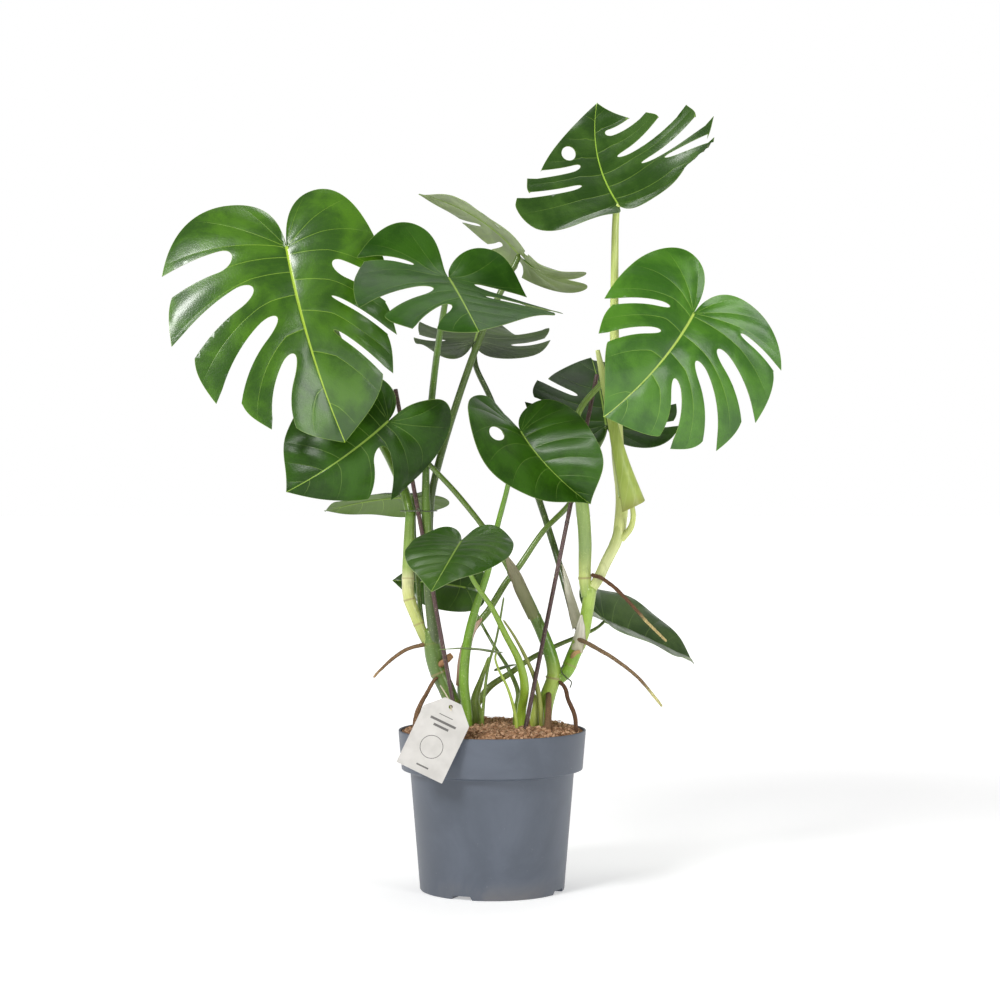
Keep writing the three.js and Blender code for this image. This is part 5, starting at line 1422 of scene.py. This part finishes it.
def soilRise(x, y):
    reach = min(math.hypot(x, y) / soil["edge"], 1.0)
    flat = soil["flatTo"]
    heap = soil["centre"] - soil["edgeDrop"] * max(0.0, (reach - flat) / (1 - flat)) ** 1.7
    broad = math.sin(x * 0.11 + 1) * math.cos(y * 0.13) + 0.6 * math.sin((x + y) * 0.23)
    crumbs = noise.fractal(Vector((x * 0.16, y * 0.16, 3.0)), 1.0, 2.0, 4)
    calm = min(1.0, (1.02 - reach) / 0.1)
    return heap + (soil["broad"] * broad + soil["lumps"] * crumbs) * max(calm, 0.15)


def buildSoil():
    rings, around = soil["rings"], soil["around"]
    points, faces = [(0.0, 0.0, soilRise(0, 0))], []
    for ring in range(1, rings + 1):
        radius = soil["edge"] * ring / rings
        for i in range(around):
            turn = 2 * math.pi * i / around
            x, y = radius * math.cos(turn), radius * math.sin(turn)
            points.append((x, y, soilRise(x, y)))
    for radius, z in soil["lower"]:
        points += [(radius * math.cos(2 * math.pi * i / around), radius * math.sin(2 * math.pi * i / around),
                    z)
                   for i in range(around)]
    for i in range(around):
        faces.append((0, 1 + i, 1 + (i + 1) % around))
    bands = rings + len(soil["lower"]) - 1
    for ring in range(bands):
        for i in range(around):
            a, b = 1 + ring * around + i, 1 + ring * around + (i + 1) % around
            faces.append((a, a + around, b + around, b))
    last = 1 + bands * around
    faces.append(tuple(range(last, last + around))[::-1])
    piece = newPiece("soilBed", points, faces)
    faceOutwards(piece)
    return piece


def makeSoilMaterial(name, pale, deep, spread):
    made, tree = newMaterial(name, 0.95, Specular_IOR_Level=0.2)
    here = objectSpace(tree)
    coarse = grain(tree, here, spread, 5.0, 0.65, 0.6)
    fine = grain(tree, here, 700.0, 3.0, 0.6)
    body = mottled(tree, coarse, 0.34, 0.66, deep, pale)
    body = layered(
        tree, body, (times(tree, fade(tree, fine, 0.55, 0.75), 0.5), (206, 176, 142)),
        (times(tree, fade(tree, fine, 0.42, 0.28), 0.5), (70, 46, 30)))
    return dressed(made, body, plus(tree, coarse, fine), 0.7, 0.002)


def compare(tree, first, second, operation):
    return addNode(tree, "FunctionNodeCompare", {0: first, 1: second}, operation=operation).outputs[0]


# Bits laid at random turns and sizes on the upper side of a bed, within a reach of its axis.
def makeScatterTree():
    tree, given, result = newShapeTree("scatteredBits", {
        "Bed": ("Geometry", None), "Bit": ("Object", None), "Per Square Metre": ("Float", 1000.0),
        "Smallest": ("Float", 0.4), "Largest": ("Float", 1.2), "Reach": ("Float", 0.1),
        "Tilt": ("Float", 0.5),
        "Seed": ("Int", 1), "Finish": ("Material", None)})
    outward = tree.nodes.new("GeometryNodeInputNormal").outputs[0]
    position = tree.nodes.new("GeometryNodeInputPosition").outputs[0]
    fromAxis = vectorSums(tree, "LENGTH", vectorSums(tree, "MULTIPLY", position, (1, 1, 0))[0])["Value"]
    chosen = compare(tree, separate(tree, outward)[2], soil["bitsTilt"], "GREATER_THAN")
    for also in (compare(tree, separate(tree, position)[2], soil["bitsAbove"], "GREATER_THAN"),
                 compare(tree, fromAxis, given["Reach"], "LESS_THAN")):
        chosen = addNode(tree, "FunctionNodeBooleanMath", {0: chosen, 1: also}, operation="AND").outputs[0]
    spots = addNode(tree, "GeometryNodeDistributePointsOnFaces", {
        "Mesh": given["Bed"], "Selection": chosen, "Density": given["Per Square Metre"],
        "Seed": given["Seed"]})
    lean = vectorSums(tree, "SCALE", (1.0, 1.0, 0.0), Scale=given["Tilt"])[0]
    least = vectorSums(tree, "SCALE", lean, Scale=-1.0)[0]
    most = vectorSums(tree, "ADD", lean, (0.0, 0.0, 2 * math.pi))[0]
    turn = addNode(tree, "FunctionNodeRandomValue", {"Min": least, "Max": most, "Seed": given["Seed"]},
                   data_type="FLOAT_VECTOR").outputs[0]
    rotation = addNode(tree, "FunctionNodeEulerToRotation", {0: turn}).outputs[0]
    sizes = addNode(tree, "FunctionNodeRandomValue",
                    {2: given["Smallest"], 3: given["Largest"], "Seed": given["Seed"]})
    bit = addNode(tree, "GeometryNodeObjectInfo", {"Object": given["Bit"]}).outputs["Geometry"]
    laid = addNode(tree, "GeometryNodeInstanceOnPoints", {
        "Points": spots.outputs["Points"], "Instance": bit, "Rotation": rotation,
        "Scale": sizes.outputs[1]}).outputs[0]
    laid = addNode(tree, "GeometryNodeRealizeInstances", {0: laid}).outputs[0]
    laid = addNode(tree, "GeometryNodeSetMaterial",
                   {"Geometry": laid, "Material": given["Finish"]}).outputs[0]
    tree.links.new(laid, result["Shape"])
    return tree


def chipBit():
    random.seed(soil["seed"])
    chip = soil["chip"]
    sides = chip["sides"]
    points, faces = [], []
    for z in (-chip["half"], chip["half"]):
        for i in range(sides):
            turn = i * 2 * math.pi / sides
            size = chip["size"] * (0.75 + 0.5 * random.random())
            points.append((size * math.cos(turn), chip["slim"] * size * math.sin(turn),
                           z * (0.8 + 0.5 * random.random())))
    for i in range(sides):
        faces.append((i, (i + 1) % sides, sides + (i + 1) % sides, sides + i))
    faces += [tuple(range(sides))[::-1], tuple(range(sides, 2 * sides))]
    return newPiece("chipBit", points, faces, smooth=False)


def fibreBit():
    fibre = soil["fibre"]
    steps, girth = fibre["steps"], fibre["girth"]
    points, faces = [], []
    for step in range(steps + 1):
        t = step / steps
        x, y, z = fibre["length"] * (t - 0.5), fibre["bow"] * math.sin(3
            * t), fibre["rise"] * math.sin(math.pi * t)
        for i in range(3):
            turn = 2 * math.pi * i / 3
            points.append((x, y + girth * math.cos(turn), z + girth * math.sin(turn)))
    for step in range(steps):
        for i in range(3):
            a, b = 3 * step + i, 3 * step + (i + 1) % 3
            faces.append((a, b, b + 3, a + 3))
    faces += [(2, 1, 0), (3 * steps, 3 * steps + 1, 3 * steps + 2)]
    return newPiece("fibreBit", points, faces)


soilPiece = buildSoil()
soilFinish = makeSoilMaterial("coirBed", (176, 134, 100), (114, 82, 58), 95.0)
finishPiece(soilPiece, "soil", "soil", material=soilFinish)
scatterTree = makeScatterTree()
for bitName, bit, density, low, high, tilt, reach, finish in (
        ("soilChips", chipBit(), 42000.0, 0.5, 2.2, 0.9, 0.112,
         makeSoilMaterial("coirChips", (236, 196, 160), (168, 124, 92), 130.0)),
        ("soilFibres", fibreBit(), 22000.0, 0.6, 1.7, 0.6, 0.106,
         makeSoilMaterial("coirFibres", (234, 202, 168), (176, 136, 102), 90.0))):
    bitPiece = bpy.data.objects.new(bitName, soilPiece.data.copy())
    bpy.context.scene.collection.objects.link(bitPiece)
    faceOutwards(bit)
    useTree(bitPiece, scatterTree, Bit=bit, Per_Square_Metre=density, Smallest=low, Largest=high, Tilt=tilt,
            Seed=soil["seed"], Reach=reach, Finish=finish)
    settle(bitPiece)
    bpy.data.objects.remove(bit)
    finishPiece(bitPiece, "soil")
    print(bitName, len(bitPiece.data.polygons), "faces")

# Tag: a thin card with clipped corners, hanging over the rim on its string.
# Each rule is its height, half length and half thickness; the ring its height, radius and half thickness.
tag = dict(
    width=62, height=97, corner=20, thick=0.7, hole=2.5, holeDown=8, place=(-89, -126, 164), lean=-25.6,
    pitch=84, bow=1.2, wave=0.8,
    rules=((76.0, 9.0, 0.5), (68.0, 17.0, 1.5), (61.5, 10.0, 1.5), (9.0, 8.0, 1.0)), ring=(35.0, 14.0, 0.4))


def buildTag():
    half, top, cut = tag["width"] / 2, tag["height"], tag["corner"]
    corners = [(-half, 0), (half, 0), (half, top - cut), (half - cut, top), (cut - half, top),
               (-half, top - cut)]
    edge = []
    for i, corner in enumerate(corners):
        edge += roundedCorner(corner, corners[i - 1], corners[(i + 1) % 6], 1.4, 6)
    outline = []
    for a, b in zip(edge, [*edge[1:], edge[0]]):
        steps = max(1, round(math.dist(a, b) / 3))
        outline += [[a[0] + (b[0] - a[0]) * i / steps, a[1] + (b[1] - a[1]) * i / steps]
                    for i in range(steps)]
    turn = np.linspace(0, 2 * math.pi, 32, endpoint=False)
    ring = np.stack([tag["hole"] * np.cos(turn), top - tag["holeDown"] + tag["hole"] * np.sin(turn)], axis=1)
    loops = [np.array(outline), ring]
    inner = np.array([(x, y) for x in np.arange(-half + 3, half - 2, 4) for y in np.arange(3, top - 2, 4)])
    away = np.min(np.linalg.norm(inner[:, None] - np.concatenate(loops)[None], axis=2), axis=1)
    inner = inner[insideLoops(inner, loops) & (away > 1.6)]
    points = np.concatenate([*loops, inner])
    triangles = fillFlat(points, loops)
    bow = tag["bow"] * (1 - (points[:, 0] / half) ** 2) + tag["wave"] * np.sin(points[:, 1] / 30)
    turnBy = Matrix.Rotation(math.radians(tag["pitch"]), 4, "X") @ Matrix.Rotation(math.radians(tag["lean"]),
        4, "Z")
    turnBy = np.array(Matrix.Translation(tag["place"]) @ turnBy)
    skins = []
    for way in (0.5, -0.5):
        flat = np.stack([points[:, 0], points[:, 1], bow + way * tag["thick"], np.ones(len(points))], axis=1)
        skins.append((flat @ turnBy.T)[:, :3])
    piece = closedSkins("tagCard", skins[0], skins[1], triangles, loops)
    flat = np.stack([points[:, 0], points[:, 1], np.ones(len(points))], axis=1)
    back = flat * [1, 1, 0]
    storeAttribute(piece.data, "cardPlace", np.concatenate([flat, back]), "FLOAT_VECTOR")
    return piece


# The card carries only ruled lines and a plain ring, on its front.
def makeCardMaterial():
    made, tree = newMaterial("tagPaper", 0.72)
    x, y, front = separate(tree, readOut(tree, "cardPlace").outputs["Vector"])
    within = lambda value, limit: sums(tree, "LESS_THAN", sums(tree, "ABSOLUTE", value), limit)
    high, radius, thick = tag["ring"]
    square = plus(tree, sums(tree, "POWER", x, 2.0), sums(tree, "POWER", minus(tree, y, high), 2.0))
    drawn = within(minus(tree, sums(tree, "SQRT", square), radius), thick)
    for high, half, thick in tag["rules"]:
        drawn = sums(tree, "MAXIMUM", drawn,
                     times(tree, within(minus(tree, y, high), thick), within(x, half)))
    ink = times(tree, drawn, front)
    here = objectSpace(tree)
    pulp = grain(tree, here, 900.0, 4.0, 0.7)
    smudge = grain(tree, here, 40.0, 3.0)
    body = mottled(tree, smudge, 0.3, 0.7, (196, 193, 188), (210, 207, 202))
    body = layered(
        tree, body, (times(tree, fade(tree, pulp, 0.6, 0.8), 0.3), (178, 172, 164)),
        (times(tree, ink, 0.85), (70, 68, 66)))
    return dressed(made, body, pulp, 0.15, 0.0003)


finishPiece(buildTag(), "card", "tag", material=makeCardMaterial())

# String: two thin strands laid round each other.
tagString = dict(
    route=[(-50, -124, 240), (-50.5, -117, 244), (-52, -108, 249), (-58, -60, 254), (-66, -24, 262)],
    strand=0.5, lay=0.42, pitch=4.5)


def buildString():
    middle, run = smoothRoute(tagString["route"], 0.8)
    tangent = np.gradient(middle, axis=0)
    tangent /= np.linalg.norm(tangent, axis=1)[:, None]
    side = np.cross(tangent, [0, 0, 1.0])
    side /= np.linalg.norm(side, axis=1)[:, None]
    up = np.cross(side, tangent)
    strands = []
    for start in (0, math.pi):
        turn = (2 * math.pi * run / tagString["pitch"] + start)[:, None]
        strands.append(dict(route=middle + tagString["lay"] * (side * np.cos(turn) + up * np.sin(turn)),
                            radii=(tagString["strand"],) * 2, spacing=0.8))
    finish = makeThreadMaterial("stringCotton", 0.9, 0.0, 4.0, 70.0, (204, 190, 160), (236, 226, 204), 0.6)
    return sweptPiece("tagStringTwist", strands, finish, sides=8)


finishPiece(buildString(), "string", "tag_string")
print("tag and string made")


# Studio: plain pale floor that glows as painted light, brighter with distance, white surroundings and soft
# lights.
studio = dict(
    floorHalf=60.0, floor=(238, 238, 238), glow=(0.42, 1.0), glowAcross=(0.9, 3.2), backdrop=1.0,
    surround=0.26, behind=0.12,
    lights=(
        ("keyLight", (-1.7, -2.3, 2.3), 1.0, 70, (0.0, 0.0, 0.6)),
        ("fillLight", (2.0, -2.3, 1.3), 1.2, 24, (0.0, 0.0, 0.45)),
        ("topLight", (0.2, 0.5, 2.6), 1.2, 16, (0.0, 0.0, 0.5)),
        ("backLight", (0.9, 2.2, 1.6), 1.4, 4, (0.0, 0.0, 0.6))))


def setStudio():
    half, pale = studio["floorHalf"], studio["floor"]
    mesh = bpy.data.meshes.new("studioFloor")
    mesh.from_pydata([(-half, -half, 0), (half, -half, 0), (half, half, 0), (-half, half, 0)], [],
                     [(0, 1, 2, 3)])
    floor = bpy.data.objects.new("studioFloor", mesh)
    bpy.context.scene.collection.objects.link(floor)
    made, tree = newMaterial("floorPaint", 0.8, Specular_IOR_Level=0.2, Emission_Strength=1.0)
    skin = tree.nodes["Principled BSDF"].inputs
    tone = grain(tree, objectSpace(tree), 1.5, 2.0)
    tree.links.new(blendColours(tree, tone, paint(*pale), paint(*[v - 2 for v in pale])), skin["Base Color"])
    # Painted light: the floor glows. Its emission rises from 0.42 within 0.9 m of the middle to 1.0 beyond
    # 3.2 m, so the far floor stays white.
    reach = vectorSums(tree, "LENGTH", objectSpace(tree))["Value"]
    tree.links.new(fade(tree, reach, *studio["glowAcross"], *studio["glow"]), skin["Emission Color"])
    mesh.materials.append(made)
    world = bpy.data.worlds.new("studioWorld")
    world.use_nodes = True
    air = world.node_tree
    sky = air.nodes["Background"].inputs
    sky["Color"].default_value = (1, 1, 1, 1)
    _, depth, height = separate(air, addNode(air, "ShaderNodeTexCoord").outputs["Generated"])
    wall = times(air, fade(air, depth, 0.2, 0.8), fade(air, height, 0.5, 0.25))
    lit = plus(air, studio["surround"], times(air, wall, studio["behind"]))
    seen = addNode(air, "ShaderNodeLightPath").outputs["Is Camera Ray"]
    shown = plus(air, times(air, seen, studio["backdrop"]), times(
        air, minus(air, 1.0, seen), lit))
    air.links.new(shown, sky["Strength"])
    bpy.context.scene.world = world
    for name, place, size, power, target in studio["lights"]:
        data = bpy.data.lights.new(name, "AREA")
        data.shape, data.size, data.energy = "DISK", size, power
        light = bpy.data.objects.new(name, data)
        light.location = place
        light.rotation_euler = (Vector(target) - Vector(place)).to_track_quat("-Z", "Y").to_euler()
        bpy.context.scene.collection.objects.link(light)
    bpy.context.scene.view_settings.view_transform = "Standard"


setStudio()
